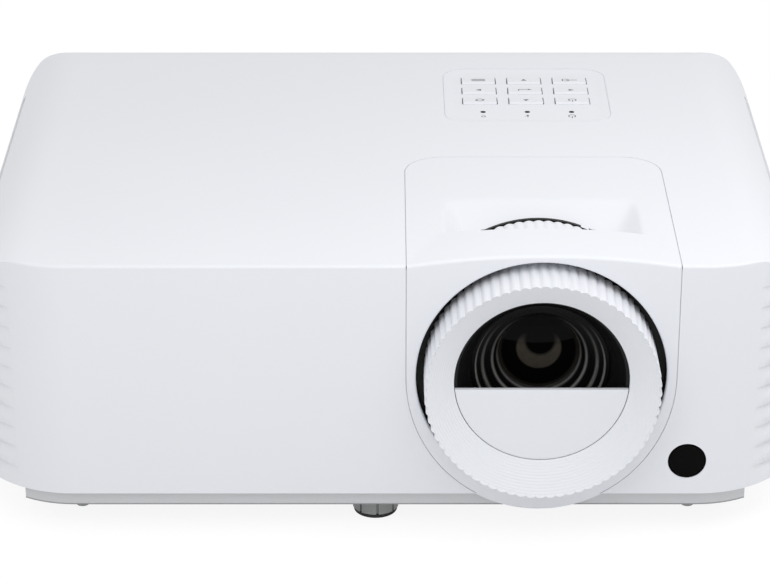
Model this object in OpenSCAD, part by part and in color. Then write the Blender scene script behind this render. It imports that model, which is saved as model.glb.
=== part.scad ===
// Desktop video projector: a white moulded casing round a zoom lens, a laser
// light engine, its cooling, its boards and three screw feet. Millimetres.
// +X is the viewer's right, +Y the back and +Z up; z = 0 is the table.

/* [Casing] */
// Width of the body across its sides
body_w = 313; // [300:1:340]
// Depth of the body from its front face to its back face
body_d = 240; // [236:1:270]
// Height of the top cover from its lower edge to its flat top
shell_h = 93.5; // [93:0.5:105]
// Height of the top cover's lower edge above the table
edge_h = 16.2; // [15:0.1:20]
// Thickness of the casing walls
wall = 2.5; // [2:0.1:3]
// Plan radius of the two front corners
front_corner_r = 40; // [34:1:46]
// Plan radius of the two back corners
back_corner_r = 33; // [28:1:38]
// Radius of the soft edge between the top and each side
side_edge_r = 26; // [15:1:28]
// Radius of the soft edge between the top and the back
back_edge_r = 25; // [15:1:28]
// Radius of the crisp edge between the top and the front
front_edge_r = 1.2; // [0.5:0.1:2]
// Gap at each seam between two casing pieces
seam = 0.3; // [0.2:0.1:0.4]

/* [Base] */
// Gap between the cover's inner face and the base's wall
base_gap = 0.5; // [0.3:0.1:0.8]
// Height of the base band that shows below the cover
base_drop = 6.4; // [5:0.1:8]
// Height that the base's wall reaches up inside the cover
base_lip = 4; // [2:0.5:5]
// Distance of the base band's sides from the sides of the body
plinth_in = 21; // [18:0.5:24]
// Gap above the cover's lower edge to the base's shelf over the band
shelf_gap = 0.2; // [0.1:0.1:0.5]
// Width of the small moulded rest nubs near the front corners
nub_w = 5; // [3:0.5:8]
// Drop of the rest nubs below the base
nub_h = 2.2; // [1:0.1:3]
// Distance of each rest nub from the nearer side
nub_in = 42.5; // [38:0.5:46]

/* [Lens panel] */
// Distance of the lens axis from the right side of the body
lens_side = 99.1; // [97:0.1:102]
// Height of the lens axis above the cover's lower edge
lens_z = 48.5; // [47:0.1:50]
// Half width of the separate panel round the lens
panel_half_w = 49.6; // [49:0.1:52]
// Drop of the panel's rounded lower edge below the lens axis
panel_drop = 54.5; // [52:0.1:55]
// Depth of the panel's top part, from the front face
panel_d = 102.5; // [90:0.5:110]
// Radius of the panel's two rear corners
panel_corner_r = 15; // [8:1:20]
// Rise of the arched brow above the flat top
brow_h = 4; // [3.8:0.1:5]
// Length over which the brow falls back to the flat top
brow_len = 65; // [62:1:80]
// Radius of the round hole for the focus ring
panel_hole_r = 46.1; // [45:0.1:46.5]
// Depth of the dark baffle behind the panel's front face
baffle_depth = 10; // [9.5:0.1:11]
// Thickness of the dark baffle
baffle_t = 1.5; // [1:0.1:2]

/* [Zoom recess] */
// Width of the recess across its top
recess_w = 74; // [70:1:78]
// Shift of the recess to the right of the lens axis
recess_shift = 1.1; // [0:0.1:2]
// Depth of the recess's front edge, from the front face
recess_front = 29.4; // [28.5:0.1:30]
// Depth of the recess's back edge, from the front face
recess_back = 61.5; // [58:0.5:66]
// How deep the recess's floor lies below the flat top
recess_sink = 7.3; // [6.5:0.1:7.6]
// Thickness of the recess's walls
recess_wall = 2; // [1.5:0.1:2.2]

/* [Side louvres] */
// Number of louvre slots in each side
louvre_count = 10; // [6:1:10]
// Distance from one louvre slot to the next
louvre_pitch = 8.2; // [7.5:0.1:8.2]
// Height of one louvre slot
louvre_h = 3.4; // [2:0.1:3.8]
// Height of the lowest slot above the cover's lower edge
louvre_low = 5; // [4.6:0.1:6]
// Distance of the louvres' front ends from the side of the body
louvre_in = 16.5; // [13:0.5:18]
// Depth of the shallow grooves that carry the louvres round the front corners
groove_d = 1.2; // [0.6:0.1:1.6]
// Distance behind the front face at which the grooves open into slots
louvre_open = 30; // [24:1:40]
// Distance that the slots stop short of the back face
louvre_back = 42; // [40:1:60]

/* [Keypad] */
// Distance of the keypad's middle from the right side of the body
keypad_side = 98.5; // [96:0.5:102]
// Distance of the keypad's middle from the back face
keypad_back = 70.5; // [68:0.5:74]
// Width of the keypad's plate
keypad_w = 68; // [66:1:74]
// Length of the keypad's plate from front to back
keypad_d = 61; // [58:1:66]
// Corner radius of the keypad's plate
keypad_r = 10; // [4:1:14]
// How far the plate lies below the flat top
keypad_sink = 0.6; // [0.3:0.1:0.9]
// Width of one key
key_w = 13.8; // [11:0.1:14.5]
// Length of one key from front to back
key_d = 7.7; // [6:0.1:8]
// Distance between columns of keys
key_pitch_x = 19; // [18:0.1:20]
// Distance between rows of keys
key_pitch_y = 11.4; // [11:0.1:12]
// Rise of a key's front edge above its back edge
key_rise = 0.8; // [0.3:0.1:1.2]
// Gap round a key in its window
key_gap = 0.35; // [0.2:0.05:0.5]
// Travel of a key when it is pressed
key_travel = 0.8; // [0.4:0.1:1]
// Width of the lip that holds a key in under the plate
key_lip = 0.8; // [0.5:0.1:1]
// Distance of the keys' middle behind the plate's middle
key_shift = 6.1; // [5:0.1:7]
// Distance of the status lights in front of the front row of keys
light_gap = 8.3; // [7:0.1:9]
// Radius of a status light
light_r = 1.1; // [0.8:0.1:1.5]

/* [Infrared window] */
// Distance of the window from the right side of the body
ir_side = 44.2; // [42:0.1:46]
// Height of the window above the cover's lower edge
ir_z = 13.8; // [13:0.1:16]
// Radius of the window's dark face
ir_r = 7.1; // [5:0.1:7.4]

/* [Focus ring] */
// Radius of the focus ring over its teeth
focus_r = 43.2; // [41:0.1:43.6]
// Distance that the ring stands out in front of the body
ring_out = 13.4; // [10:0.1:14]
// Distance that the ring's grip reaches back into the body
ring_in = 8.5; // [6:0.1:9]
// Number of teeth on each knurled ring
ring_teeth = 72; // [48:4:96]
// Depth of the teeth
tooth_h = 1; // [0.5:0.1:1.4]
// Radius of the ring's front opening
mouth_r = 32.2; // [31:0.1:33]
// Depth of the opening behind the ring's front edge
mouth_depth = 9.4; // [8:0.1:10]
// Number of fine steps on the ring's cone
cone_steps = 12; // [6:1:16]
// Radial clearance of each turning ring on the barrel
ring_fit = 0.05; // [0.02:0.01:0.08]
// Turn of the focus ring to each side of its middle, in degrees
focus_turn = 60; // [30:5:90]
// Travel of the focusing lens for the whole turn to one side
focus_travel = 1.4; // [0.5:0.1:1.5]
// Gap between the fixed mask and the ring
mask_gap = 0.3; // [0.2:0.05:0.5]
// Drop of the mask's straight edge below the lens axis
mask_drop = 3; // [0:0.1:6]
// Thickness of the mask
mask_t = 1.7; // [1:0.1:1.8]

/* [Zoom ring] */
// Radius of the zoom ring over its teeth
zoom_r = 44; // [43:0.1:44.4]
// Depth of the zoom ring's front face, from the body's front face
zoom_front = 31; // [30.8:0.1:32]
// Width of the zoom ring
zoom_w = 12.5; // [11:0.1:12.6]
// Travel of the zoom lens to each side of its middle
zoom_travel = 3; // [1:0.1:3.2]
// Width of the fixed index flange behind the zoom ring
index_w = 1.6; // [1:0.1:1.8]

/* [Barrel and lenses] */
// Outer radius of the barrel's nose, on which the focus ring turns
nose_r = 33.95; // [33.5:0.05:34.2]
// Radius of the barrel where the zoom ring turns
saddle_r = 38; // [37:0.1:39]
// Radius of the bore in which the lens cells slide
cell_r = 25.8; // [25:0.1:27]
// Radial clearance of a sliding lens cell
cell_fit = 0.1; // [0.05:0.01:0.1]
// Depth of the barrel's rear flange face, from the body's front face
barrel_end = 99; // [96:0.5:102]
// Radius of the barrel's rear flange
flange_r = 42; // [40:0.5:43]
// Radius of the front glass
front_glass_r = 15.2; // [13:0.1:16]
// Radius of the moving zoom glass
zoom_glass_r = 17; // [13:0.1:18]
// Radius of the rear glass
rear_glass_r = 19.9; // [17:0.1:20]
// Clearance round a glass in its seat
glass_fit = 0.05; // [0.02:0.01:0.1]

/* [Light engine] */
// Width of the light engine's housing
engine_w = 84; // [80:1:86]
// Length of the light engine's housing
engine_d = 60; // [56:1:62]
// Height of the housing above the lens axis
engine_up = 30; // [28:0.5:31]
// Wall of the housing
engine_wall = 3; // [2:0.5:4]
// Distance of the light path behind the housing's front face
path_y = 29; // [26:0.5:32]
// Radius of the colour wheel
wheel_r = 27; // [25:0.5:28]
// Thickness of the colour wheel's disc
wheel_t = 1.2; // [0.8:0.1:2]
// Width of the laser module from front to back
laser_d = 52; // [48:1:54]
// Height of the laser module
laser_h = 62; // [60:1:64]

/* [Cooling] */
// Side of a square fan
fan_size = 70; // [60:1:72]
// Thickness of a fan
fan_t = 20; // [15:1:25]
// Number of blades on a fan
fan_blades = 7; // [5:1:9]
// Number of fins on the laser's heat sink
fin_count = 13; // [8:1:14]
// Thickness of a fin
fin_t = 1.2; // [0.8:0.1:1.5]
// Radius of a heat pipe
pipe_r = 3; // [2:0.1:4]

/* [Boards] */
// Thickness of every circuit board
board_t = 1.6; // [1:0.1:2]
// Height of the main board's underside above the base's floor
main_lift = 17.7; // [15:0.1:20]
// Length of the power board
power_w = 96; // [90:1:98]
// Width of the power board from front to back
power_d = 70; // [66:1:72]
// Height of the power board's underside above the base's floor
power_lift = 9.7; // [9:0.1:12]

/* [Rear panel] */
// Distance of the rear panel's left end from the left side
rear_left = 34.5; // [34:0.5:36]
// Distance of the rear panel's right end from the right side
rear_right = 92.5; // [90:0.5:94]
// Lower edge of the rear panel above the cover's lower edge
rear_low = 7; // [6:0.5:8]
// Height of the rear panel
rear_h = 44; // [40:1:48]
// How far the rear panel is set in from the back face
rear_sink = 0.6; // [0.3:0.1:1]
// Distance of the mains inlet's middle from the rear panel's left end
inlet_in = 16; // [15:0.5:17]
// Width of the mains inlet's shell
inlet_w = 27; // [26:0.5:28]
// Height of the mains inlet's shell
inlet_h = 19.5; // [19:0.5:21]

/* [Feet] */
// Distance of the front foot from the middle of the body
foot_x = -3.6; // [-5:0.1:-3]
// Depth of the front foot behind the front face
foot_depth = 18; // [17:0.5:20]
// Distance of each rear foot from the nearer side
rear_foot_in = 44.5; // [42:0.5:48]
// Distance of the rear feet from the back face
rear_foot_back = 38.7; // [36:0.1:42]
// Radius of a foot's grip
foot_r = 8.75; // [7:0.05:9.5]
// Height of a foot's rubber pad
pad_h = 1.8; // [1.5:0.1:2.5]
// Radius of a foot's threaded stud
stud_r = 3; // [2.5:0.1:3.5]
// Travel of each foot
foot_travel = 8; // [4:0.5:8]
// Rise of the stud for one turn
stud_pitch = 1; // [0.8:0.05:1.25]
// Radial clearance of a stud in its nut
stud_fit = 0.05; // [0.02:0.01:0.08]

/* [Ceiling mount] */
// Distance between the mounting holes across the body
mount_w = 180; // [170:1:184]
// Distance between the mounting holes from front to back
mount_d = 135; // [130:1:138]
// Inner radius of a mounting insert, for an M4 screw
insert_r = 1.65; // [1.65:0.05:2]
// Length of a mounting insert
insert_len = 8; // [6:0.5:9]

/* [Case screws] */
// Radius of a case screw's shank
screw_r = 1.45; // [1.2:0.05:1.5]
// Radius of a case screw's head
screw_head_r = 2.9; // [2.5:0.1:3]
// Length of a case screw's shank
screw_len = 12; // [9:0.5:14]
// Height above the base's floor at which cover and base posts meet
post_h = 24; // [20:0.5:26]

/* [Hidden] */
$fn = 64;
round_fn = 160;
over = 1;
touch = 0.1;
white = [0.93, 0.93, 0.95];
band_grey = [0.76, 0.77, 0.78];
dark = [0.08, 0.08, 0.09];
foot_grey = [0.42, 0.43, 0.43];
metal = [0.75, 0.76, 0.78];
brass = [0.80, 0.66, 0.35];
board_green = [0.10, 0.34, 0.20];
glass_tint = [0.55, 0.65, 0.70];
half_w = body_w / 2;
front_y = (ring_out - body_d) / 2;
back_y = front_y + body_d;
mid_y = (front_y + back_y) / 2;
top_z = edge_h + shell_h;
roof_z = top_z - wall;
base_z = edge_h - base_drop;
floor_z = base_z + wall;
lens_h = edge_h + lens_z;
lens_x = half_w - lens_side;
base_inset = wall + base_gap;
shelf_z = edge_h + shelf_gap;
louvre_x = half_w - louvre_in;
keypad_x = half_w - keypad_side;
keypad_y = back_y - keypad_back;
plate_z = top_z - keypad_sink;
plate_flange = 1.6;
plate_low = roof_z - plate_flange;
post_z = floor_z + post_h;
screw_hole_r = screw_r + 0.05;
well_r = screw_head_r + 0.5;
well_wall = 2;
shelf_t = 3;
head_h = 2.4;
post_r = screw_hole_r + 2.5;
rear_x0 = rear_left - half_w;
rear_x1 = half_w - rear_right;
speaker_w = 38;
speaker_d = 20;
speaker_h = 44;
speaker_x0 = rear_x1 + 20;
lens_screw_angles = [30, 150, 210, 330];
post_spots = [[half_w - 30, front_y + 26], [30 - half_w, front_y + 26],
              [half_w - 26, back_y - 26], [26 - half_w, back_y - 26],
              [lens_x - panel_hole_r - 15.5, front_y + 43], [(rear_x1 + speaker_x0) / 2, back_y - 19]];
rear_foot_x = half_w - rear_foot_in;
feet = [[foot_x, front_y + foot_depth], [-rear_foot_x, back_y - rear_foot_back],
        [rear_foot_x, back_y - rear_foot_back]];
nut_r = 5;
nut_h = 8;
nut_low = floor_z + 1.7;
boss_r = nut_r + 3;
boss_top = nut_low + nut_h + foot_travel + 2;
knob_gap = 0.3;
knob_top = base_z - knob_gap;
mount_spots = [for (sx = [-1, 1], sy = [-1, 1]) [sx * mount_w / 2, mid_y + sy * mount_d / 2]];
insert_wall = 1.35;
insert_boss_r = insert_r + insert_wall + 3;
engine_y = front_y + barrel_end + wall + 0.5;
engine_z0 = floor_z + 3;
engine_top = lens_h + engine_up;
engine_x0 = lens_x - engine_w / 2 - 2;
path_z = lens_h;
path_abs_y = engine_y + path_y;
side_x = half_w - wall;
guard_t = 1.8;
guard_x = side_x - seam - guard_t;
fan_x = guard_x - seam - fan_t;
fan_y = mid_y + 4;
fan_z = edge_h + base_lip + fan_size / 2;
inlet_x = rear_x0 + inlet_in;
board_x0 = inlet_x + inlet_w / 2 + 8.5;
main_w = rear_x1 - board_x0;
board_y0 = engine_y + engine_d + 15;
board_y1 = back_y - wall - 2.7;
main_d = board_y1 - board_y0;
board_z = floor_z + main_lift;
socket_z = board_z + board_t;

// Outline of the body in plan, set in by i
module plan(i) {
  rf = front_corner_r;
  rb = back_corner_r;
  translate([rf - half_w, front_y + i]) square([body_w - 2 * rf, mid_y - front_y - i]);
  translate([rb - half_w, mid_y]) square([body_w - 2 * rb, back_y - i - mid_y]);
  translate([i - half_w, front_y + rf]) square([body_w - 2 * i, body_d - rf - rb]);
  for (s = [-1, 1]) {
    translate([s * (half_w - rf), front_y + rf]) circle(rf - i, $fn = round_fn);
    translate([s * (half_w - rb), back_y - rb]) circle(rb - i, $fn = round_fn);
  }
}

// Outline of the body from the front, set in by i, down to z0
module front_form(i, z0) {
  r = side_edge_r;
  translate([i - half_w, z0]) square([body_w - 2 * i, top_z - r - z0]);
  translate([r - half_w, z0]) square([body_w - 2 * r, top_z - i - z0]);
  for (s = [-1, 1]) translate([s * (half_w - r), top_z - r]) circle(r - i, $fn = round_fn);
}

// Outline of the body from the side, set in by i, down to z0
module side_form(i, z0) {
  r = back_edge_r;
  rf = max(front_edge_r - i, 0);
  translate([front_y + i, z0]) square([body_d - 2 * i, top_z - r - z0]);
  translate([front_y + i + rf, z0]) square([body_d - r - i - rf, top_z - i - z0]);
  translate([front_y + i, z0]) square([body_d - r - i, top_z - i - rf - z0]);
  translate([back_y - r, top_z - r]) circle(r - i, $fn = round_fn);
  if (rf > 0) translate([front_y + i + rf, top_z - i - rf]) circle(rf);
}

// Solid outer form of the cover, set in by i, from z0 up
module body_form(i, z0) {
  intersection() {
    translate([0, 0, z0]) linear_extrude(top_z - z0) plan(i);
    translate([0, back_y + over, 0]) rotate([90, 0, 0]) linear_extrude(body_d + 2 * over)
        front_form(i, z0);
    translate([-half_w - over, 0, 0]) rotate([90, 0, 90]) linear_extrude(body_w + 2 * over)
        side_form(i, z0);
  }
}

// A box from its low corner and its high corner
module block(a, b) {
  translate(a) cube(b - a);
}

// Moves a shape whose +Z runs along the lens axis, from the body's front face backwards
module on_lens() {
  translate([lens_x, front_y, lens_h]) rotate([-90, 0, 0]) children();
}

// A solid of revolution about the lens axis from [radius, depth] points
module turned(points) {
  on_lens() rotate_extrude($fn = round_fn) polygon(points);
}

// A plain tube about the lens axis
module tube(r1, r2, d0, d1) {
  turned([[r1, d0], [r2, d0], [r2, d1], [r1, d1]]);
}

// Outline of the lens panel from the front, grown by g, about the lens axis
module panel_front(g) {
  a = panel_half_w + g;
  b = panel_drop + g;
  steps = 40;
  polygon([for (k = [0 : steps]) [-a * cos(180 * k / steps), -b * sin(180 * k / steps)]]);
  translate([-a, -over]) square([2 * a, top_z - lens_h + over]);
}

// Outline of the lens panel's top part in plan, grown by g
module panel_top(g) {
  a = panel_half_w + g;
  r = panel_corner_r + g;
  y1 = front_y + panel_d + g;
  translate([lens_x - a, front_y - over]) square([2 * a, y1 - r - front_y + over]);
  translate([lens_x - a + r, front_y - over]) square([2 * (a - r), y1 - front_y + over]);
  for (s = [-1, 1]) translate([lens_x + s * (a - r), y1 - r]) circle(r);
}

// Outline of the keypad's plate, grown by g
module keypad_outline(g) {
  w = keypad_w + 2 * g;
  d = keypad_d + 2 * g;
  r = keypad_r + g;
  translate([keypad_x - w / 2 + r, keypad_y - d / 2]) square([w - 2 * r, d]);
  translate([keypad_x - w / 2, keypad_y - d / 2 + r]) square([w, d - 2 * r]);
  for (sx = [-1, 1], sy = [-1, 1]) translate([keypad_x + sx * (w / 2 - r), keypad_y + sy * (d / 2 - r)])
      circle(r);
}

// The level slots of both sides, from y0 to y1
module louvre_slots(y0, y1) {
  for (s = [0, 1], k = [0 : louvre_count - 1]) mirror([s, 0, 0])
    block([louvre_x, y0, edge_h + louvre_low + k * louvre_pitch],
        [half_w + over, y1, edge_h + louvre_low + k * louvre_pitch + louvre_h]);
}

module top_cover() {
  color(white) difference() {
    union() {
      difference() {
        body_form(0, edge_h);
        body_form(wall, edge_h - over);
      }
      intersection() {
        body_form(wall / 2, edge_h);
        for (p = post_spots) translate([p[0], p[1], post_z]) cylinder(r = post_r, h = top_z - post_z);
      }
    }
    for (p = post_spots) translate([p[0], p[1], post_z - over])
        cylinder(r = screw_hole_r, h = screw_len + over);
    translate([lens_x, front_y + wall + over, lens_h]) rotate([90, 0, 0]) linear_extrude(wall + 2 * over)
        panel_front(seam);
    translate([0, 0, roof_z - over]) linear_extrude(wall + 2 * over) panel_top(seam);
    translate([0, 0, roof_z - over]) linear_extrude(wall + 2 * over) keypad_outline(0);
    translate([ir_x, front_y - over, edge_h + ir_z]) rotate([-90, 0, 0])
        cylinder(r = ir_r + glass_fit, h = wall + 2 * over);
    block([rear_x0, back_y - wall - over, edge_h + rear_low],
        [rear_x1, back_y + over, edge_h + rear_low + rear_h]);
    louvre_slots(front_y + louvre_open, back_y - louvre_back);
    difference() {
      louvre_slots(front_y - over, front_y + louvre_open + over);
      body_form(groove_d, edge_h - over);
    }
    for (k = [-4 : 4]) block([speaker_x0 + speaker_w / 2 + k * 4 - 1, back_y - wall - over, floor_z + 10],
                             [speaker_x0 + speaker_w / 2 + k * 4 + 1, back_y + over,
                                 floor_z + speaker_h - 8]);
  }
}

// One rib-like rest for a board or a fan, standing on the base's floor
module stand(x, y, w, d, top, low = floor_z) {
  block([x - w / 2, y - d / 2, low - wall / 2], [x + w / 2, y + d / 2, top]);
}

// A slice of the base's band from z0 to z1, set in by i
module plinth(i, z0, z1) {
  x1 = half_w - plinth_in - i;
  intersection() {
    translate([0, 0, z0]) linear_extrude(z1 - z0) plan(base_inset + i);
    block([-x1, front_y, z0 - over], [x1, back_y, z1 + over]);
  }
}

module bottom_case() {
  lip_z = edge_h + base_lip;
  color(band_grey) difference() {
    union() {
      difference() {
        union() {
          plinth(0, base_z, shelf_z + wall);
          translate([0, 0, shelf_z]) linear_extrude(lip_z - shelf_z) plan(base_inset);
        }
        plinth(wall, floor_z, lip_z + over);
        translate([0, 0, shelf_z + wall]) linear_extrude(lip_z) plan(base_inset + wall);
      }
      for (s = [-1, 1]) translate([s * (half_w - nub_in), front_y + base_inset + nub_w, base_z - nub_h])
          cylinder(d = nub_w, h = nub_h + wall / 2);
      for (p = post_spots) translate([p[0], p[1], base_z])
          cylinder(r = well_r + well_wall, h = post_z - base_z);
      for (p = feet) translate([p[0], p[1], base_z]) cylinder(r = boss_r, h = boss_top - base_z);
      for (p = mount_spots) translate([p[0], p[1], base_z])
          cylinder(r = insert_boss_r, h = insert_len + wall);
      for (x = [board_x0 + 4, board_x0 + main_w - 4], y = [board_y1 - main_d + 4, board_y1 - 4])
          stand(x, y, 6, 6, board_z);
      for (x = [power_x0 + 4, power_x0 + power_w - 4], y = [power_y0 + 4, power_y0 + power_d - 4])
          stand(x, y, 6, 6, floor_z + power_lift);
      for (s = [-1, 1], y = [-1, 1]) stand(s * (fan_x + fan_t / 2), fan_y + y * (fan_size / 2 - 6),
          fan_t, 8, fan_z - fan_size / 2, shelf_z + wall);
      for (y = [0.15, 0.85]) stand(laser_x0 + laser_w / 2, laser_y0 + laser_d * y, laser_w - 10, 6,
          engine_z0);
      for (y = [0.12, 0.88]) stand(engine_x0 + engine_w / 2, engine_y + engine_d * y, engine_w - 8, 5,
          engine_z0);
      for (s = [-1, 1]) stand(ir_x + s * (ir_board_w / 2 + 1.1), ir_board_y + board_t / 2, 2, 4,
          floor_z + 14);
    }
    tube(0, baffle_r + 2 * seam, 0, baffle_depth + 5);
    for (p = post_spots) {
      translate([p[0], p[1], base_z - over]) cylinder(r = well_r, h = post_z - shelf_t - base_z + over);
      translate([p[0], p[1], base_z]) cylinder(r = screw_hole_r + 0.2, h = post_z - base_z + over);
    }
    for (p = feet) {
      translate([p[0], p[1], base_z - over]) cylinder(r = stud_r + 0.4, h = boss_top - base_z);
      translate([p[0], p[1], nut_low]) cylinder(r = nut_r + stud_fit, h = boss_top - nut_low + over);
    }
    for (p = mount_spots) translate([p[0], p[1], base_z - over])
        cylinder(r = insert_r + insert_wall + stud_fit, h = insert_len + over);
  }
}

baffle_r = panel_half_w - 1;
collar_r = baffle_r;
collar_t = 1.5;

// The lens panel's outer form, with its arched brow falling back to the flat top
module panel_mass() {
  arch_r = (pow(panel_half_w, 2) + pow(brow_h, 2)) / (2 * brow_h);
  fall = atan(brow_h / brow_len);
  intersection() {
    translate([0, 0, lens_h]) linear_extrude(shell_h) panel_top(0);
    block([lens_x - panel_half_w - over, front_y, lens_h - over],
        [lens_x + panel_half_w + over, front_y + panel_d + over, top_z + brow_h + over]);
    union() {
      block([lens_x - panel_half_w - over, front_y - over, lens_h],
          [lens_x + panel_half_w + over, front_y + panel_d + over, top_z]);
      translate([lens_x, front_y, top_z + brow_h]) rotate([-fall, 0, 0]) translate([0, -over, -arch_r])
        rotate([-90, 0, 0]) cylinder(r = arch_r, h = panel_d, $fn = 720);
    }
  }
}

// Side profile of the zoom recess, grown by g, as [depth, height] points
module recess_side(g) {
  zf = top_z - recess_sink;
  polygon([[recess_front - g, top_z + brow_h + over], [recess_front - g, zf - g],
           [recess_foot + g / 2, zf - g], [recess_back + g / 2, top_z - g], [recess_back + g / 2,
               top_z + brow_h + over]]);
}

// End profile of the zoom recess, with ends that lean in at 45 degrees, grown by g
module recess_ends(g) {
  w = recess_w / 2 + g;
  zf = top_z - recess_sink - 5;
  lean = recess_sink + 5;
  polygon([[-w, top_z + brow_h + over], [-w, top_z], [lean - w, zf], [w - lean, zf], [w, top_z],
      [w, top_z + brow_h + over]]);
}

recess_foot = zoom_front + zoom_w + seam + index_w + 0.4;

module recess_void(g) {
  x0 = lens_x + recess_shift;
  intersection() {
    translate([x0 - recess_w, front_y, 0]) rotate([90, 0, 90]) linear_extrude(2 * recess_w)
        recess_side(g);
    translate([x0, front_y + recess_back + 2 * over, 0]) rotate([90, 0, 0]) linear_extrude(recess_back)
        recess_ends(g);
  }
}

module lens_surround() {
  slot_half = sqrt(pow(zoom_r + 0.6, 2) - pow(top_z - recess_sink - recess_wall - lens_h, 2)) + seam;
  color(white) difference() {
    union() {
      translate([lens_x, front_y + wall, lens_h]) rotate([90, 0, 0]) linear_extrude(wall) panel_front(0);
      difference() {
        panel_mass();
        block([0, front_y + wall, lens_h - 2 * over], [body_w, back_y, roof_z]);
      }
      intersection() {
        tube(collar_r - collar_t, collar_r, wall / 2, baffle_depth);
        block([0, front_y, base_z], [body_w, mid_y, roof_z + wall / 2]);
      }
      intersection() {
        recess_void(recess_wall);
        block([0, front_y, roof_z - recess_sink - recess_wall], [body_w, mid_y, roof_z + wall / 2]);
      }
    }
    tube(0, panel_hole_r, -over, wall + over);
    tube(0, panel_hole_r, wall, baffle_depth + 2);
    recess_void(0);
    block([lens_x - slot_half, front_y + recess_front, roof_z - 3 * recess_sink],
        [lens_x + slot_half, front_y + recess_foot, top_z + brow_h + over]);
  }
}

module lens_baffle() {
  color(dark) intersection() {
    tube(sleeve_r + 0.7, baffle_r, baffle_depth, baffle_depth + baffle_t);
    block([0, front_y, base_z], [body_w, mid_y, roof_z - seam]);
  }
}

sleeve_t = 2.5;
sleeve_r = nose_r + ring_fit + sleeve_t;
sleeve_end = 24;

// A plate with upright slots inside each side's louvres
module side_guard(s) {
  y0 = front_y + front_corner_r + 2;
  y1 = back_y - back_corner_r - 10;
  z0 = edge_h + base_lip;
  z1 = top_z - side_edge_r - 2;
  slots = floor((y1 - y0 - 6) / 7);
  xa = s > 0 ? guard_x : -guard_x - guard_t;
  difference() {
    block([xa, y0, z0], [xa + guard_t, y1, z1]);
    for (k = [0 : slots - 1]) block([xa - over, y0 + 5 + k * 7, z0 + 5], [xa + guard_t + over,
        y0 + 9 + k * 7, z1 - 5]);
  }
}

module left_side_guard() {
  color(dark) side_guard(-1);
}

module right_side_guard() {
  color(dark) side_guard(1);
}

// Signal sockets, spread evenly along the back: [width, height, round bore or 0]
sockets = [[31, 12.5, 0], [15, 6, 0], [15, 6, 0], [13.2, 7, 0], [10, 10, 1.8], [10, 10, 1.8], [12, 11, 0]];
socket_side = 1;
sockets_w = widths_before(len(sockets));
socket_gap = (main_w - 2 * socket_side - sockets_w) / (len(sockets) - 1);

// Sum of the widths of the sockets to the left of number k, and the middle of number k
function widths_before(k) = k == 0 ? 0 : widths_before(k - 1) + sockets[k - 1][0];
function socket_x(k) = board_x0 + socket_side + widths_before(k) + k * socket_gap + sockets[k][0] / 2;

hood_w = 17;
hood_h = 9;

module rear_panel() {
  z0 = edge_h + rear_low;
  ya = back_y - wall - 2;
  yb = back_y - rear_sink;
  color(white) difference() {
    union() {
      block([rear_x0 + seam, ya, z0 + seam], [rear_x1 - seam, yb, z0 + rear_h - seam]);
      block([rear_x0 - 1.5, ya, z0 - 3 + seam], [rear_x1 + 1.5, back_y - wall, z0 + rear_h + 3]);
    }
    block([inlet_x - inlet_w / 2 - seam, ya - over, socket_z - seam],
        [inlet_x + inlet_w / 2 + seam, yb + over, socket_z + inlet_h + seam]);
    for (k = [0 : len(sockets) - 1]) {
      reach = sockets[k][0] / 2 + seam;
      block([socket_x(k) - reach, ya - over, socket_z - seam],
          [socket_x(k) + reach, yb + over, socket_z + sockets[k][1] + seam]);
    }
    block([rear_x0 + 60, ya - over, z0 + rear_h - 7], [rear_x0 + 67, yb + over, z0 + rear_h - 4]);
  }
}

module keypad_plate() {
  z_lip = plate_low;
  color(white) difference() {
    union() {
      translate([0, 0, z_lip]) linear_extrude(plate_z - z_lip) keypad_outline(-seam);
      translate([0, 0, z_lip]) linear_extrude(roof_z - z_lip) keypad_outline(3);
      for (sx = [-1, 1], sy = [-1, 1])
        translate([keypad_x + sx * board_hold_x, keypad_y + sy * board_hold_y, pad_board_z])
            cylinder(r = 2, h = z_lip - pad_board_z + over);
    }
    for (c = [-1 : 1], r = [-1 : 1]) translate([key_x(c), key_y(r), z_lip - over])
      linear_extrude(2 * (plate_z - z_lip)) square([key_w + 2 * key_gap, key_d + 2 * key_gap],
          center = true);
    for (c = [-1 : 1]) translate([light_x(c), light_y, z_lip - over])
        cylinder(r = light_r + glass_fit, h = 2 * (plate_z - z_lip));
  }
}

board_hold_x = 28;
board_hold_y = 24;
key_mid_y = keypad_y + key_shift;
light_y = key_mid_y - key_pitch_y - key_d / 2 - light_gap;
lip_gap = 0.05;
lip_t = 1;
dome_h = 1;
dome_gap = 0.1;
pad_board_z = plate_low - lip_gap - lip_t - key_travel - dome_h - dome_gap;

function key_x(c) = keypad_x + c * key_pitch_x;
function key_y(r) = key_mid_y + r * key_pitch_y;
function light_x(c) = keypad_x + c * 18;

// One key, c columns right and r rows behind the middle key: a cap that rises towards its
// rounded front edge, on a lip that catches under the plate
module key(c, r) {
  bevel = 0.9;
  z0 = plate_low - lip_gap - lip_t;
  color(white) translate([key_x(c), key_y(r), 0]) {
    translate([-key_w / 2, 0, 0]) rotate([90, 0, 90]) linear_extrude(key_w)
      polygon([[-key_d / 2, z0], [key_d / 2, z0], [key_d / 2, plate_z + 0.1],
          [bevel - key_d / 2, plate_z + key_rise],
               [bevel * 0.3 - key_d / 2, plate_z + key_rise - bevel * 0.3], [-key_d / 2,
                   plate_z + key_rise - bevel]]);
    block([-key_w / 2 - key_lip, -key_d / 2 - key_lip, z0],
        [key_w / 2 + key_lip, key_d / 2 + key_lip, z0 + lip_t]);
  }
}

module key_menu() {
  key(-1, 1);
}

module key_up() {
  key(0, 1);
}

module key_info() {
  key(1, 1);
}

module key_left() {
  key(-1, 0);
}

module key_enter() {
  key(0, 0);
}

module key_right() {
  key(1, 0);
}

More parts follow.
